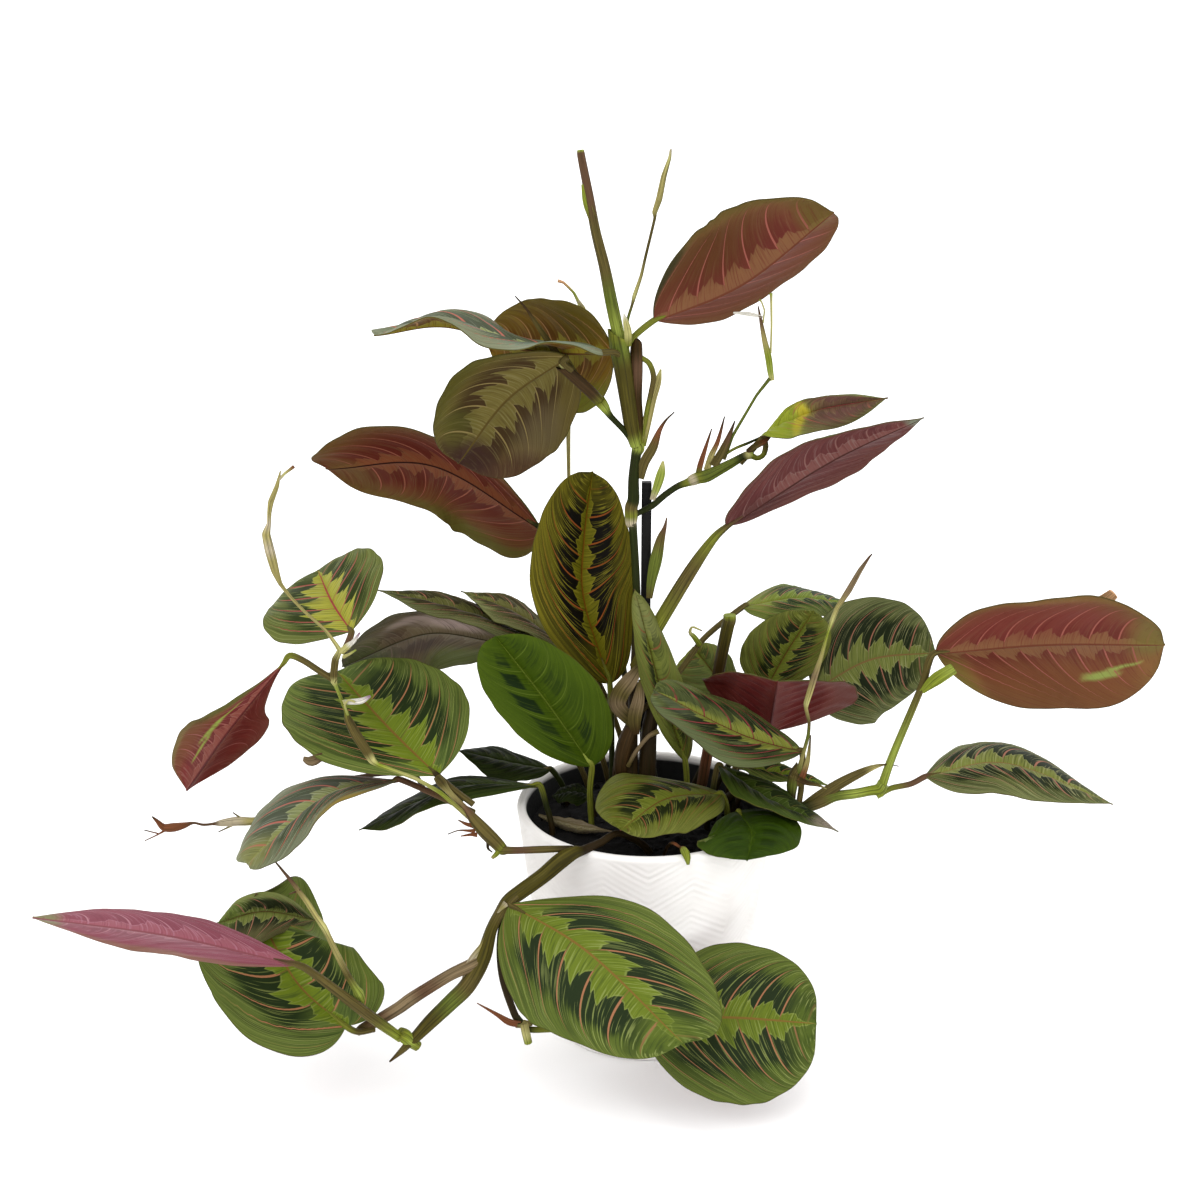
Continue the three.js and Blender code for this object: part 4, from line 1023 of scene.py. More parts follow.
def leaf_finish(name, field, margin, patch, feather, vein, fine_vein, midrib, streak,
                reach=0.4, patches=1.0, patch_end=0.66, softness=0.12, gap=0.0, bands=0.4,
                streaks=0.55, vein_width=0.04, fray=0.55, glow=0.15, rough=0.5, specular=0.06):
    """One face of a leaf: a pale lobed feather along the midrib, dark patches between the veins
    beside it, and a green margin with fine streaks."""
    f = Finish(name)
    x, s, _ = f.places("veins")
    t, light, _ = f.places("blade")
    a = f.sum("ABSOLUTE", s)
    phase = f.sum("FRACT", x)
    to_vein = f.sum("PINGPONG", x, 0.5)
    near_vein = f.sum("SUBTRACT", 1.0, f.times(to_vein, 2.0))
    side = f.times(f.sum("SIGN", s), 5.0)
    lobe = f.times(f.sum("FLOOR", x), 3.7)
    odd = f.grain(f.vector(lobe, side), 1.0, 0.0)
    fibres = f.grain(f.vector(f.times(x, 17.0), f.times(a, 1.5), side), 1.0, 3.0)
    broad = f.grain(f.vector(f.times(x, 3.6), f.times(a, 0.9), side), 1.0, 2.0)
    clouds = f.grain(f.vector(f.times(x, 0.6), f.times(s, 2.0), t), 1.3, 3.0)

    width = f.times(f.profile(phase, LOBE), f.profile(t, FEATHER_LENGTH))
    width = f.times(width, f.fade(odd, 0.25, 0.75, 0.78 * reach, 1.2 * reach))
    beyond = f.sum("SUBTRACT", a, width)
    inside = f.fade(beyond, -0.006, 0.008, 1.0, 0.0)
    rim = f.times(inside, f.fade(beyond, -0.03, -0.012))

    # The far end of a patch is frayed along the fibres and reaches farther beside the veins.
    end = f.sum("MULTIPLY_ADD", f.sum("POWER", near_vein, 2.0), 0.1,
                f.fade(odd, 0.3, 0.7, patch_end - 0.08, patch_end + 0.06))
    frayed = f.sum("ADD", a, f.times(f.sum("SUBTRACT", fibres, 0.5), fray))
    outward = f.sum("SUBTRACT", frayed, end)
    dark = f.fade(outward, -softness, 0.04, 1.0, 0.0)
    dark = f.times(dark, f.profile(t, PATCH_LENGTH))
    if gap:
        ragged = f.sum("ADD", to_vein, f.times(f.sum("SUBTRACT", clouds, 0.5), 0.3))
        dark = f.times(dark, f.fade(ragged, gap, gap + 0.06))
        dark = f.times(dark, f.fade(a, 0.16, 0.24))
        dark = f.times(dark, f.fade(odd, 0.38, 0.56, 0.1, 1.0))
    dark = f.times(dark, patches)

    line = f.times(f.fade(fibres, 0.56, 0.61), f.fade(outward, -0.35, -0.05, 0.1, 1.0))
    line = f.times(line, f.fade(a, 0.8, 1.0, 1.0, 0.3))
    band = f.times(f.fade(broad, 0.42, 0.58), f.fade(a, 0.25, 0.5, 0.2, 1.0))
    band = f.times(band, f.fade(a, 0.85, 1.0, bands, 0.3 * bands))

    colour = f.blend(f.fade(a, 0.45, 1.0), paint(field), paint(margin))
    colour = f.blend(f.fade(clouds, 0.35, 0.65, 0.0, 0.3), colour, paint(margin))
    colour = f.blend(band, colour, paint(patch))
    colour = f.blend(dark, colour, paint(patch))
    colour = f.blend(f.times(line, streaks), colour, paint(streak))
    pale = f.blend(f.fade(fibres, 0.4, 0.52, 0.35, 0.0), paint(feather), paint(field))
    pale = f.blend(f.times(f.fade(fibres, 0.55, 0.63), 0.4), pale, paint(streak))
    pale = f.blend(f.times(rim, 0.4), pale, paint(streak))
    colour = f.blend(inside, colour, pale)
    own, share = f.wash_colour()
    colour = f.blend(share, colour, own)
    colour = f.blend(f.fade(fibres, 0.36, 0.45, 0.4, 0.0), colour, paint(patch))
    colour = f.blend(f.times(f.fade(fibres, 0.57, 0.63), f.fade(share, 0.3, 0.8, 0.25, 0.1)),
                     colour, paint(streak))
    half = f.times(f.fade(a, 0.5, 1.0, vein_width, 0.4 * vein_width),
                 f.sum("MULTIPLY_ADD", inside, -0.5, 1.0))
    off_vein = f.sum("DIVIDE", to_vein, half)
    on_vein = f.times(f.fade(off_vein, 0.5, 1.0, 1.0, 0.0), f.fade(a, 0.7, 0.95, 1.0, 0.1))
    on_vein = f.times(on_vein, f.fade(t, 0.84, 0.95, 1.0, 0.2))
    seen = f.times(on_vein, f.fade(share, 0.6, 0.95, 1.0, 0.0))
    vein_colour = f.blend(inside, paint(vein), paint(fine_vein))
    colour = f.blend(seen, colour, vein_colour)
    colour = f.blend(f.fade(a, 0.01, 0.019, 1.0, 0.0), colour, paint(midrib))
    colour = f.blend(f.fade(a, 0.982, 0.994, 0.0, 0.7), colour, paint(LEAF_EDGE))
    # Light scales the leaf's colour: partly its own tone, partly painted light and shade.
    colour = f.scaled(colour, light)
    height = f.sum("ADD", f.times(fibres, 0.7), f.times(on_vein, -0.6))
    return f.skin(colour, f.fade(clouds, 0.2, 0.8, rough - 0.06, rough + 0.1), height,
                  depth=0.0003, glow=glow, specular=specular)


def stem_finish():
    """Stems, sheaths and buds: each vertex's colour, with painted shade inside sheath mouths, and fine ribs
    along the stem.
    """
    f = Finish("ribbed stem")
    around, along, _ = f.places("veins")
    ribs = f.grain(f.vector(f.times(around, 13.0), f.times(along, 0.3)),
                   1.0, 3.0)
    spots = f.grain(f.object_places(), 420.0, 3.0)
    own, _ = f.wash_colour()
    darker = f.blend(f.fade(ribs, 0.36, 0.47, 0.6, 0.0), own, paint("#27240f"))
    lighter = f.blend(f.fade(ribs, 0.55, 0.61, 0.0, 0.6), darker, f.scaled(own, 1.7))
    colour = f.blend(f.fade(spots, 0.58, 0.8, 0.0, 0.3), lighter, paint("#4a3524"))
    return f.skin(colour, f.fade(spots, 0.3, 0.7, 0.42, 0.6), ribs, depth=0.0003, strength=0.6,
                  glow=0.06, specular=0.07)


def pot_finish():
    f = Finish("matte white ceramic")
    at = f.object_places()
    fine = f.grain(at, 900.0, 3.0)
    broad = f.grain(at, 28.0, 2.0)
    colour = f.blend(f.fade(broad, 0.35, 0.7), paint("#e7e5e2", 1), paint("#dddad6", 1))
    own, share = f.wash_colour()
    colour = f.blend(share, colour, own)
    return f.skin(colour, f.fade(fine, 0.3, 0.7, 0.5, 0.66), fine, depth=0.0001, strength=0.35,
                  specular=0.35)


def soil_finish():
    f = Finish("dark potting soil")
    at = f.object_places()
    crumbs = f.grain(at, 260.0, 6.0, 0.7)
    # Near black: the soil's own dark colour deepened with painted shade.
    colour = f.blend(f.fade(crumbs, 0.42, 0.7), paint("#030202", 1), paint("#0e0b08", 1))
    return f.skin(colour, f.fade(crumbs, 0.3, 0.7, 0.85, 1.0), crumbs, depth=0.001, strength=0.9,
                  specular=0.2)


def stick_finish():
    f = Finish("black coated stick")
    fine = f.grain(f.object_places(), 500.0, 4.0)
    colour = f.blend(f.fade(fine, 0.3, 0.7), paint("#040404", 1), paint("#0c0b0a", 1))
    return f.skin(colour, f.fade(fine, 0.3, 0.7, 0.4, 0.6), fine, depth=0.0002, strength=0.4,
                  specular=0.15)


LEAF_FINISHES = {
    "fresh": leaf_finish(
        "striped leaf top", "#536424", "#647230", "#27331b", "#6d7d26", "#ac7553", "#7f6c35",
        "#86692f", "#98a35c"),
    "shaded": leaf_finish(
        "shaded striped leaf top", "#54652c", "#687634", "#222f12", "#6c7d1e", "#a8724e",
        "#6f642c", "#7d6029", "#8b9450", bands=0.55),
    "glowing": leaf_finish(
        "backlit striped leaf top", "#4f4a08", "#6e6616", "#0d0903", "#6a6612", "#8e4c1e",
        "#70520f", "#764e12", "#8a8226", reach=0.25, patch_end=0.58, bands=0.5, streaks=0.8),
    "olive": leaf_finish(
        "olive leaf top", "#62681f", "#6f7430", "#1f260c", "#6c7526", "#875735", "#6f6028",
        "#705426", "#8d9348", reach=0.3, patch_end=0.52, bands=0.3),
    "grey": leaf_finish(
        "grey green striped leaf top", "#596030", "#707648", "#212a14", "#7c8440", "#a8705a",
        "#807444", "#8a6c40", "#a4a472", bands=0.5),
    "silver": leaf_finish(
        "silver green striped leaf top", "#60684a", "#80866a", "#424a34", "#929a5e", "#bc6a58",
        "#b87860", "#a06850", "#a8ae90", reach=0.26, patches=0.8, vein_width=0.06),
    "dark": leaf_finish(
        "dark leaf top", "#222d08", "#324012", "#0e1606", "#2b380c", "#43401c", "#363a14",
        "#3e421a", "#566034", patches=0.7, streaks=0.25, vein_width=0.03),
    "pale": leaf_finish(
        "pale feathered leaf top", "#525c2a", "#6a7238", "#2f3a14", "#aeac3e", "#a4584a",
        "#a8503e", "#b04c4c", "#98a060", reach=0.5, bands=0.5, vein_width=0.06),
    "bright": leaf_finish(
        "pale green feathered leaf top", "#56622a", "#747e42", "#28321a", "#a8ae48", "#b04a4c",
        "#a84848", "#8a3038", "#a0a868", reach=0.42, vein_width=0.065),
    "plain": leaf_finish(
        "plain green leaf top", "#3c5008", "#485c0c", "#16270a", "#44580c", "#586a20",
        "#586a20", "#6c7c2c", "#56681a", reach=0.08, streaks=0.2, patch_end=0.48,
        softness=0.05, gap=0.14, bands=0.12, vein_width=0.025, fray=0.15),
    "deep": leaf_finish(
        "deep green leaf top", "#263a02", "#334705", "#172603", "#2e4203", "#2a3e04", "#2a3e04",
        "#3a4e0c", "#405410", reach=0.08, patches=0.6, streaks=0.15, patch_end=0.5, gap=0.15,
        bands=0.2, vein_width=0.025, fray=0.15, specular=0.08),
    "red_back": leaf_finish(
        "red brown leaf underside", "#824636", "#84603c", "#72302a", "#966846", "#b4685a",
        "#965a44", "#7c4632", "#8a5c44", reach=0.3, patches=0.8, patch_end=0.5, softness=0.35,
        bands=0.12, streaks=0.25, glow=0.3),
    "brown_back": leaf_finish(
        "brown leaf underside", "#8c661a", "#9a822e", "#5c340c", "#9a8c2e", "#b88852",
        "#8a6a34", "#64441c", "#8a7438", reach=0.3, patches=0.7, patch_end=0.5, softness=0.3,
        bands=0.35, streaks=0.35, glow=0.3),
    "dark_red_back": leaf_finish(
        "dark red leaf underside", "#743a24", "#775a2e", "#602016", "#864c2e", "#a25e48",
        "#7a4630", "#2a0d06", "#77573a", reach=0.34, patches=0.8, patch_end=0.6, softness=0.3,
        bands=0.25, streaks=0.3, vein_width=0.035, glow=0.25),
    "crimson_back": leaf_finish(
        "crimson leaf underside", "#7a322e", "#7a5240", "#5c1c1e", "#864a3e", "#9c5c54",
        "#7c4a3a", "#5c2422", "#94655a", reach=0.3, patches=0.6, patch_end=0.6, softness=0.35,
        bands=0.3, streaks=0.3, vein_width=0.03, glow=0.2),
    "pink_back": leaf_finish(
        "pink leaf underside", "#984c5c", "#904654", "#7c3646", "#a25c68", "#b87a86", "#ae7080",
        "#8a4c54", "#bc8294", reach=0.3, patches=0.4, patch_end=0.7, softness=0.4,
        streaks=0.45, vein_width=0.03, specular=0.14),
    "mauve_back": leaf_finish(
        "mauve leaf underside", "#743c3a", "#704038", "#542426", "#80504a", "#8c605a",
        "#7d5852", "#4a2620", "#8f706a", reach=0.3, patches=0.4, patch_end=0.7, softness=0.4,
        streaks=0.4, vein_width=0.03, specular=0.12),
    "grey_back": leaf_finish(
        "grey purple leaf underside", "#554f2f", "#4a4a1e", "#2f2c10", "#6a664a", "#6c5c48",
        "#6c5c48", "#38300e", "#868068", reach=0.3, patches=0.7, softness=0.35, bands=0.5,
        streaks=0.4, vein_width=0.03, specular=0.15),
    "olive_back": leaf_finish(
        "translucent olive leaf underside", "#756632", "#7a6b36", "#4e3a22", "#877a40",
        "#a8945c", "#9a8850", "#6c5a2c", "#a09460", reach=0.46, patches=0.95, patch_end=0.68,
        softness=0.3, bands=0.25, streaks=0.15, vein_width=0.035, fray=0.25, glow=0.35),
    "plain_back": leaf_finish(
        "plain green leaf underside", "#4f5c28", "#5a6632", "#3c4a1c", "#56642c", "#667238",
        "#667238", "#727c40", "#6f7b44", reach=0.08, patches=0.5, gap=0.17, bands=0.2,
        streaks=0.3, vein_width=0.03),
    "dry": leaf_finish(
        "dry bract", "#877c58", "#8f7f68", "#6a6244", "#8c8262", "#9a8a70", "#9a8a70",
        "#7a6e50", "#b5aa8a", reach=0.08, patches=0.3, bands=0.6, streaks=0.6, vein_width=0.02,
        glow=0.1, rough=0.6),
}
STEM_FINISH = stem_finish()


# Leaves

def turned_with(vectors, before, after):
    """The vector turned by the least turn that takes the direction before to each of after."""
    axis = np.cross(before, after)
    cosine = (after @ before)[:, None]
    once = np.cross(axis, vectors)
    return vectors + once + np.cross(axis, once) / (1 + cosine)


def about(vectors, axis, angle):
    c, s = np.cos(angle)[:, None], np.sin(angle)[:, None]
    return vectors * c + np.cross(axis, vectors) * s + axis * (
        (axis * vectors).sum(1, keepdims=True) * (1 - c))


def vein_place(t, s, pairs):
    """Runs by 1 from each side vein to the next; side veins leave the midrib and sweep to the tip."""
    a = np.abs(s)
    swept = VEIN_SWEEP * (0.16 * a + 0.84 * a**2.4)
    along = (t - swept) / (1 - swept)
    return pairs * np.where(along < 0, 0.35 * along, along)


def blade_places(leaf, t, s):
    """The upper face at t along the midrib and s across it, and the direction out of it."""
    widest = leaf.get("widest", USUAL_WIDEST)
    rib = leaf["rib"]
    point, slope = curve_at(rib, t)
    along = unit(slope)
    (middle,), (middle_slope,) = curve_at(rib, np.array([widest]))
    before = unit(middle_slope)
    left = turned_with(np.array(leaf["left"]) - middle, before, along)
    right = turned_with(np.array(leaf["right"]) - middle, before, along)
    if "twist" in leaf:
        left = about(left, along, leaf["twist"] * (t - widest))
        right = about(right, along, leaf["twist"] * (t - widest))
    up = unit(np.cross(right - left, along))
    power = math.log(0.5) / math.log(widest)
    blunt = leaf.get("blunt", USUAL_BLUNT)
    blunt = np.where(t < widest, leaf.get("base", blunt), blunt)
    outline = np.sin(np.pi * np.clip(t, 0, 1) ** power).clip(0) ** blunt
    tip = np.clip((t - (1 - TIP_SHARE)) / TIP_SHARE, 0, 1)
    width = np.maximum(outline * (1 - tip**2), NARROWEST)
    a = np.abs(s)
    own = 0.37 * leaf["left"][0] + np.where(s < 0, 0.0, 2.1)
    width *= 1 + 0.008 * np.sin(14 * t + own) + 0.006 * np.sin(37 * t + 3 * own) * a**2
    arch = ARCH * width * 4 * a * (1 - a)
    phase = 1.7 * t + 0.3 * s + 0.013 * leaf["left"][0]
    wave = leaf.get("wave", WAVE) * width * s**2 * np.sin(2 * np.pi * phase)
    ripple = RIPPLE * width * a**5 * np.sin(2 * np.pi * (4.3 * t + 0.4 * s + phase))
    pillow = PILLOW * width * np.sin(np.pi * vein_place(t, s, leaf.get("veins", VEIN_PAIRS))) ** 2
    pillow *= np.clip(a / 0.25, 0, 1) * np.clip((1 - a) / 0.2, 0.15, 1)
    groove = -RIB_GROOVE * width * np.exp(-((s / RIB_GROOVE_WIDTH) ** 2))
    side = np.where((s < 0)[:, None], left, right)
    place = point + side * (a * width)[:, None] + along * (TIP_LENGTH * tip)[:, None]
    return place + up * (arch + wave + ripple + pillow + groove + BLADE_THICKNESS / 2)[:, None], up


def blade(name, leaf):
    """The leaf's blade with its thickness. Each leaf reads its own part of the pattern's noise."""
    pairs = leaf.get("veins", VEIN_PAIRS)

    def shares(across, along):
        s = 2 * across - 1
        return 0.5 - 0.5 * np.cos(np.pi * along), np.sign(s) * np.abs(s) ** 1.25

    piece, across, along = sheet(
        name, BLADE_COLUMNS, BLADE_ROWS, lambda u, v: blade_places(leaf, *shares(u, v))[0])
    t, s = shares(across, along)
    of = corners(piece.data)
    faces = np.repeat(np.arange(len(piece.data.polygons)), 4)
    side = np.bincount(faces, s[of])[faces] > 0
    start = 20 + 30 * list(LEAVES).index(name)
    x = vein_place(t, s, pairs)[of] + np.where(side, start + 0.5, start)
    corner_map(piece, "veins", np.stack([x, s[of]], 1))
    corner_map(piece, "blade", np.stack([t[of], np.full(len(of), leaf.get("light", 1.0))], 1))
    colours = np.zeros((len(s), 4))
    for at_t, at_s, long, wide, code, share in leaf.get("washes", ()):
        crisp = 4 if share == 1 else 2
        near = np.exp(-(((t - at_t) / long) ** 2 + ((s - at_s) / wide) ** 2) ** crisp) * share
        colours[:, :3] = colours[:, :3] * (1 - near[:, None]) + near[:, None] * paint(code)[:3]
        colours[:, 3] = np.maximum(colours[:, 3], near)
    colours[:, :3] /= np.maximum(colours[:, 3:], 1e-6)
    wash(piece, colours)
    piece.data.materials.append(LEAF_FINISHES[leaf["top"]])
    piece.data.materials.append(LEAF_FINISHES[leaf["back"]])
    wall = piece.modifiers.new("thickness", "SOLIDIFY")
    wall.thickness = BLADE_THICKNESS * MM
    wall.offset = -1
    wall.material_offset = 1
    wall.material_offset_rim = 1
    apply(piece, wall)
    # A wash lies on one face only, the one turned to the front.
    count = len(s)
    up = blade_places(leaf, t, s)[1]
    other_face = slice(count, 2 * count) if (up @ FRONT).mean() > 0 else slice(0, count)
    layer = piece.data.color_attributes["wash"].data
    colours = np.empty(len(layer) * 4)
    layer.foreach_get("color", colours)
    colours.reshape(-1, 4)[other_face, 3] = 0
    layer.foreach_set("color", colours)
    # The midrib stands out underneath.
    places = places_of(piece.data)
    ridge = RIB_RIDGE * (1 - 0.8 * t) * np.exp(-((s / RIB_RIDGE_WIDTH) ** 2))
    places[count:2 * count] -= up * (ridge * MM)[:, None]
    piece.data.vertices.foreach_set("co", places.ravel())
    piece.data.update()
    return piece


# Stems

def tube(name, letters, places, sides, flat=1.0, cup=0.0, ribs=0.05, lobes=7, ease=1.0, mouth=False):
    """A closed stem along its places, each given as x, y, z and radius. Flat and cup press and bend
    its section to a bract's, and a mouth turns back inside as a sheath's slanted opening."""
    points = np.array(places, dtype=float)
    length = np.linalg.norm(np.diff(points[:, :3], axis=0), axis=1).sum()
    rows = max(8, int(length / STEM_STEP))
    t = np.linspace(0, 1, rows + 1)
    centre, slope = curve_at(points, t, ease)
    along = unit(slope[:, :3])
    radius = np.maximum(centre[:, 3], THINNEST_STEM)
    side = np.empty_like(along)
    direction = np.cross(along[0], (0.0, 1.0, 0.15))
    for i in range(rows + 1):
        direction = direction - along[i] * (direction @ along[i])
        direction /= np.linalg.norm(direction)
        side[i] = direction
    other = np.cross(along, side)
    travelled = np.concatenate([[0], np.linalg.norm(np.diff(centre[:, :3], axis=0), axis=1).cumsum()])
    # The first and last rows close the ends, and a mouth has its inner wall before the last.
    inner = [rows, rows - 1, rows - 3] if mouth else []
    row_of = np.array([0, *range(rows + 1), *inner, inner[-1] if mouth else rows])
    size_of = np.array([0] + [1] * (rows + 1) + MOUTH_SIZES[:len(inner)] + [0])
    last = len(row_of) - 1
    slanted = np.clip((row_of - rows + MOUTH_ROWS) / MOUTH_ROWS, 0, 1) * mouth

    def place(across, ahead):
        k = np.rint(ahead * last).astype(int)
        i = row_of[k]
        angle = 2 * np.pi * np.rint(across * sides) / sides
        r = radius[i] * size_of[k] * (1 + ribs * np.cos(lobes * angle))
        out = r * flat * np.sin(angle) + cup * r * np.cos(angle) ** 2
        lean = MOUTH_LEAN * slanted[k] * radius[i] * np.cos(angle)
        return (centre[i, :3] + side[i] * (r * np.cos(angle))[:, None] + other[i] * out[:, None]
                + along[i] * lean[:, None])

    piece, across, ahead = sheet(name, sides, last, place)
    k = np.rint(ahead * last).astype(int)
    of = corners(piece.data)
    uv = np.stack([across[of] * 2, travelled[row_of[k[of]]] / 10], 1)
    corner_map(piece, "veins", uv)
    corner_map(piece, "blade", uv)
    codes = np.array([paint(STEM_COLOURS[c]) for c in letters])
    colours, _ = curve_at(codes, t, 0.0)
    colours = np.clip(colours, 0, 1)[row_of[k]]
    colours[:, 3] = 1
    # The inside of a sheath's mouth is darkened: painted shade.
    colours[(k > rows + 1) & mouth, :3] *= MOUTH_SHADE
    wash(piece, colours)
    piece.data.materials.append(STEM_FINISH)
    close_seams(piece)
    return piece


def leaf_stem_places(leaf):
    start = [tuple(p) + (LEAF_STEM_RADIUS,) if len(p) == 3 else p for p in leaf["stem"]]
    points, _ = curve_at(leaf["rib"], np.array([0, 0.05, 0.1]))
    ends = [tuple(p) + (r,) for p, r in zip(points, LEAF_STEM_END)]
    return start + ends


def make_leaf(name, leaf):
    pieces = [blade(name, leaf)]
    if "fold" in leaf:
        pieces.append(blade(name, leaf["fold"]))
    if "stem" in leaf:
        letters = leaf.get("stem_colours", USUAL_STEM_COLOURS)
        pieces.append(tube(name + "_stem", letters, leaf_stem_places(leaf), LEAF_STEM_SIDES))
    pieces += strands_of(name, leaf.get("extra", {}))
    piece = join(pieces, name)
    smooth(piece, 75)
    settle(piece, name)


def strands_of(name, strands):
    pieces = []
    for strand, (letters, places) in strands.items():
        form = {"ribs": 0.03}
        if "bract" in strand or "petal" in strand or "spike" in strand:
            form = {"flat": 0.3, "cup": 0.5, "ribs": 0.02}
        elif "sheath" in strand:
            form = {"mouth": True, "ribs": 0.04, "lobes": 11}
        elif "flower" in name:
            form["ease"] = 0.4
        pieces.append(tube(name + "_" + strand, letters, places, STRAND_SIDES, **form))
    return pieces


def make_stem(name, strands):
    piece = join(strands_of(name, strands), name)
    smooth(piece, 75)
    settle(piece, name)


for name, strands in STEMS.items():
    make_stem(name, strands)
for name, leaf in LEAVES.items():
    make_leaf(name, leaf)


# Pot, soil and stick

def turned(name, columns, profile, relief=None):
    """A closed body turned about the pot's axis. The profile runs from the axis underneath, up the
    outside and back to the axis."""
    line = np.array(profile, dtype=float)

    def place(across, along):
        k = np.rint(along * (len(line) - 1)).astype(int)
        angle = 2 * np.pi * np.rint(across * columns) / columns
        r, z = line[k, 0], line[k, 1]
        if relief is not None:
            r, z = relief(angle, r, z, k)
        return np.stack([r * np.cos(angle), r * np.sin(angle), z], 1)

    piece, _, _ = sheet(name, columns, len(line) - 1, place)
    close_seams(piece)
    return piece


def make_pot():
    lip = POT_WALL / 2
    outside = [(BASE_RADIUS - FOOT_EDGE * (1 - math.sin(a)), FOOT_EDGE * (1 - math.cos(a)))
               for a in np.linspace(0, math.pi / 2, FOOT_STEPS)]
    top = POT_HEIGHT - lip
    wall = [(BASE_RADIUS + (RIM_RADIUS - BASE_RADIUS) * z / top, z)
            for z in np.linspace(FOOT_EDGE, top, WALL_ROWS)][1:-1]
    rim = [(RIM_RADIUS - lip + lip * math.cos(a), top + lip * math.sin(a))
           for a in np.linspace(0, math.pi, RIM_STEPS)]
    inner_foot = BASE_RADIUS - POT_WALL + (RIM_RADIUS - BASE_RADIUS) * FLOOR_THICKNESS / POT_HEIGHT
    inside = [(inner_foot, FLOOR_THICKNESS), (inner_foot / 2, FLOOR_THICKNESS), (0, FLOOR_THICKNESS)]
    # The inside wall starts 2 mm under the lip, where the painted shade inside the pot becomes full.
    painted_shade_top = (RIM_RADIUS - POT_WALL - 0.3, top - 2)
    underside = [(0, 0), (BASE_RADIUS / 2, 0)]
    profile = underside + outside + wall + rim + [painted_shade_top] + inside
    first = len(underside) + len(outside)
    last = first + len(wall)

    def relief(angle, r, z, k):
        turn = angle * CHEVRONS / (2 * np.pi) + 0.75
        zigzag = np.abs(turn % 1 - 0.5) * 2
        height = (z - CHEVRON_RISE * zigzag) / GROOVE_SPACING
        grooves = 0.5 - 0.5 * np.cos(2 * np.pi * height)
        fade = np.clip((z - 5) / 4, 0, 1) * np.clip((top - z) / 2.5, 0, 1)
        cut = GROOVE_DEPTH * (1 - grooves**0.6) * fade
        cut *= 0.65 + 0.35 * np.cos(2 * np.pi * height / 5)
        return np.where((k >= first) & (k < last), r - cut, r), z

    pot = turned("pot", POT_COLUMNS, profile, relief)
    places = places_of(pot.data) / MM
    reach = np.hypot(places[:, 0], places[:, 1])
    outer = BASE_RADIUS + (RIM_RADIUS - BASE_RADIUS) * places[:, 2] / top
    # The inner wall below the lip is washed near black: painted shade inside the pot.
    within = (reach < outer - 0.8 * POT_WALL) & (places[:, 2] > FLOOR_THICKNESS - 1)
    dark = np.tile(paint("#050504", 1), (len(places), 1))
    dark[:, 3] = within * np.clip((top - places[:, 2]) / 2, 0, 1)
    wash(pot, dark)
    pot.data.materials.append(pot_finish())
    smooth(pot, 60)
    settle(pot, "pot")


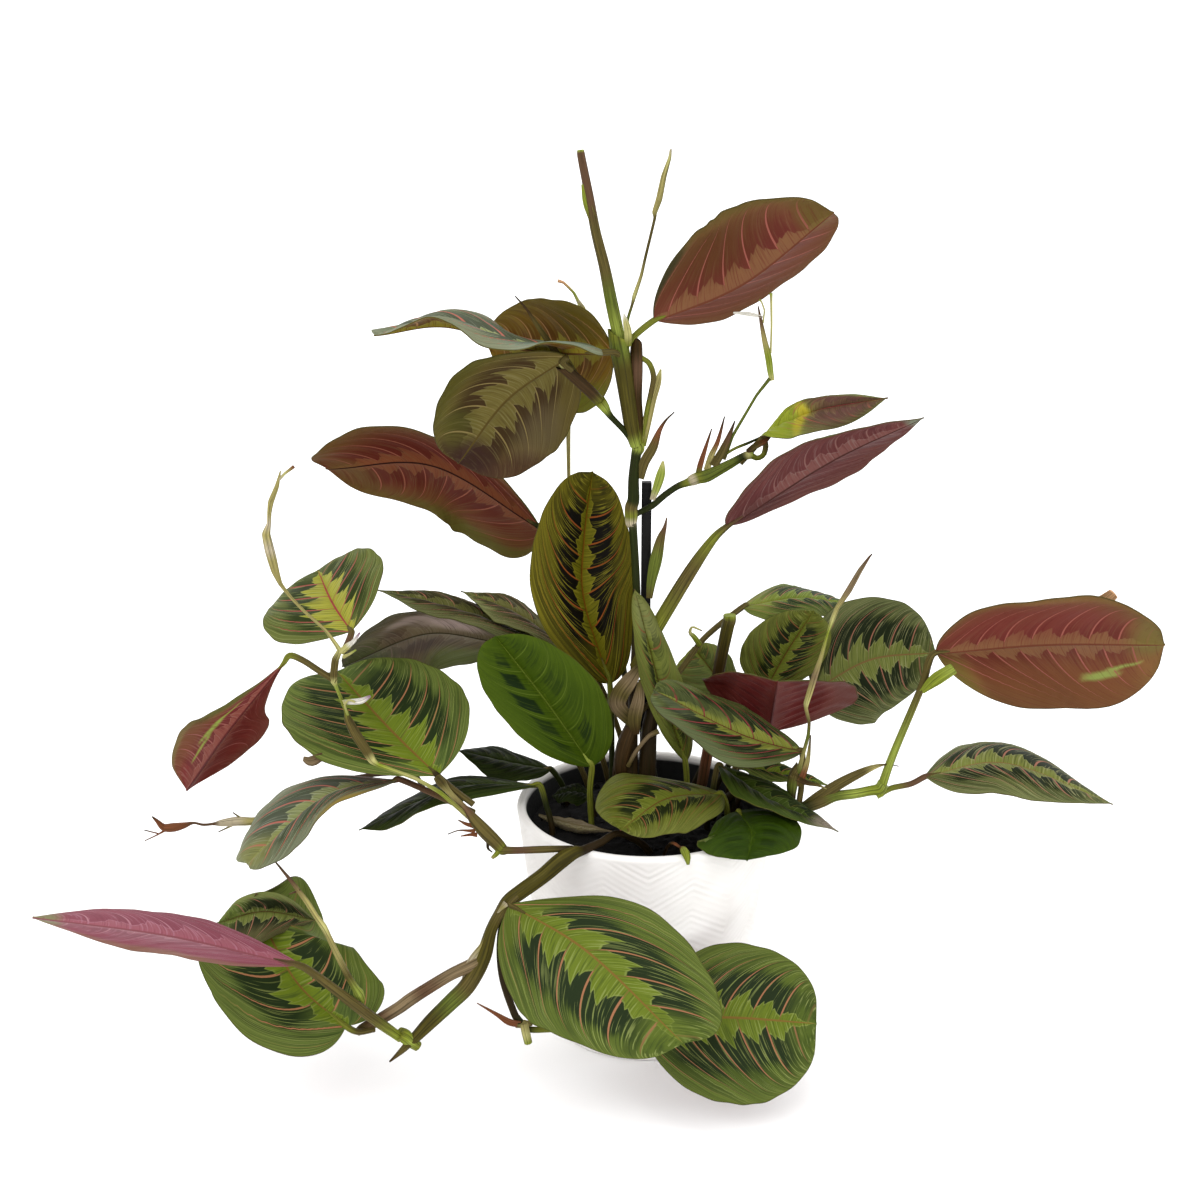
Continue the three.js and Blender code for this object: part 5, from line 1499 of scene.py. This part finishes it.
def make_soil():
    lean = (RIM_RADIUS - BASE_RADIUS) / POT_HEIGHT
    foot = BASE_RADIUS - POT_WALL - 1 + lean * FLOOR_THICKNESS
    edge = BASE_RADIUS - POT_WALL - 0.6 + lean * SOIL_EDGE
    bottom = FLOOR_THICKNESS + SOIL_GAP
    steps = [i / SOIL_RINGS for i in range(1, SOIL_RINGS + 1)]
    surface = [(edge * (1 - i), SOIL_EDGE + SOIL_MOUND * math.sin(0.5 * math.pi * i)) for i in steps]
    profile = [(0, bottom), (foot, bottom), (edge, SOIL_EDGE)] + surface

    def relief(angle, r, z, k):
        lumps = [noise.noise(Vector((x, y, 0))) + 0.5 * noise.noise(Vector((2.3 * x, 2.3 * y, 5)))
                 for x, y in zip(r * np.cos(angle) / LUMP_WIDTH, r * np.sin(angle) / LUMP_WIDTH)]
        inner = np.clip((edge - r) / 6, 0, 1)
        return r, z + np.where(k > 2, LUMP_HEIGHT * np.array(lumps) * inner, 0)

    soil = turned("soil", SOIL_COLUMNS, profile, relief)
    dice = random.Random(4)
    crumbs = []
    for _ in range(CRUMBS):
        bpy.ops.object.select_all(action="DESELECT")
        angle = dice.uniform(0, 2 * math.pi)
        reach = edge * math.sqrt(dice.uniform(0, 0.85))
        size = dice.uniform(*CRUMB_SIZES)
        spot = (reach * math.cos(angle), reach * math.sin(angle), SOIL_EDGE + SOIL_MOUND * 0.5)
        bpy.ops.mesh.primitive_ico_sphere_add(subdivisions=1, radius=size * MM,
                                              location=[c * MM for c in spot])
        crumb = bpy.context.object
        crumb.data.transform(crumb.matrix_world)
        crumb.matrix_world.identity()
        places = places_of(crumb.data)
        for p in places:
            p += np.array(noise.noise_vector(Vector(p) * 700)) * 0.4 * size * MM
        crumb.data.vertices.foreach_set("co", places.ravel())
        crumbs.append(crumb)
    soil = join([soil] + crumbs, "soil")
    soil.data.materials.clear()
    soil.data.materials.append(soil_finish())
    smooth(soil, 40)
    settle(soil, "soil")


def make_stick():
    bpy.ops.object.select_all(action="DESELECT")
    bpy.ops.mesh.primitive_cube_add(size=1)
    stick = bpy.context.object
    stick.name = stick.data.name = "stick"
    height = STICK_TOP - STICK_FOOT
    places = places_of(stick.data) * (STICK_WIDTH, STICK_WIDTH, height)
    places += (*STICK_PLACE, (STICK_TOP + STICK_FOOT) / 2)
    stick.data.vertices.foreach_set("co", (places * MM).ravel())
    edge = stick.modifiers.new("edge", "BEVEL")
    edge.width = STICK_EDGE * MM
    edge.segments = 3
    apply(stick, edge)
    stick.data.materials.append(stick_finish())
    smooth(stick, 40)
    settle(stick, "stick")


make_pot()
make_soil()
make_stick()


# Floor, light and camera

bpy.ops.object.select_all(action="DESELECT")
bpy.ops.mesh.primitive_plane_add(size=400)
floor = bpy.context.object
floor.name = "floor"
floor_look = Finish("pale floor")
floor.data.materials.append(floor_look.skin(paint("#fcfcfc", 1), 0.9, specular=0.0))

world = bpy.data.worlds.new("soft studio")
bpy.context.scene.world = world
world.use_nodes = True
sky = world.node_tree.nodes["Background"]
sky.inputs["Color"].default_value = (1, 1, 1, 1)
sky.inputs["Strength"].default_value = SKY_STRENGTH


def softbox(name, way, power):
    """A wide, even light that shines along a direction, as from a large softbox far away."""
    bpy.ops.object.light_add(type="SUN", location=(0, 0, 2))
    lamp = bpy.context.object
    lamp.name = name
    lamp.data.energy = power
    lamp.data.angle = math.radians(SOFTBOX_SPREAD)
    lamp.rotation_euler = Vector(way).to_track_quat("-Z", "Y").to_euler()


softbox("main softbox", (0.3, 0.8, -1.2), 0.95)
softbox("back softbox", (-0.6, -0.9, -0.8), 0.2)

bpy.ops.object.camera_add(location=CAMERA_PLACE, rotation=(math.radians(CAMERA_TILT), 0, 0))
camera = bpy.context.object
camera.data.lens = CAMERA_LENS
camera.data.sensor_width = SENSOR_WIDTH
camera.data.clip_start = CAMERA_NEAR
bpy.context.scene.camera = camera
bpy.context.scene.view_settings.view_transform = "Standard"
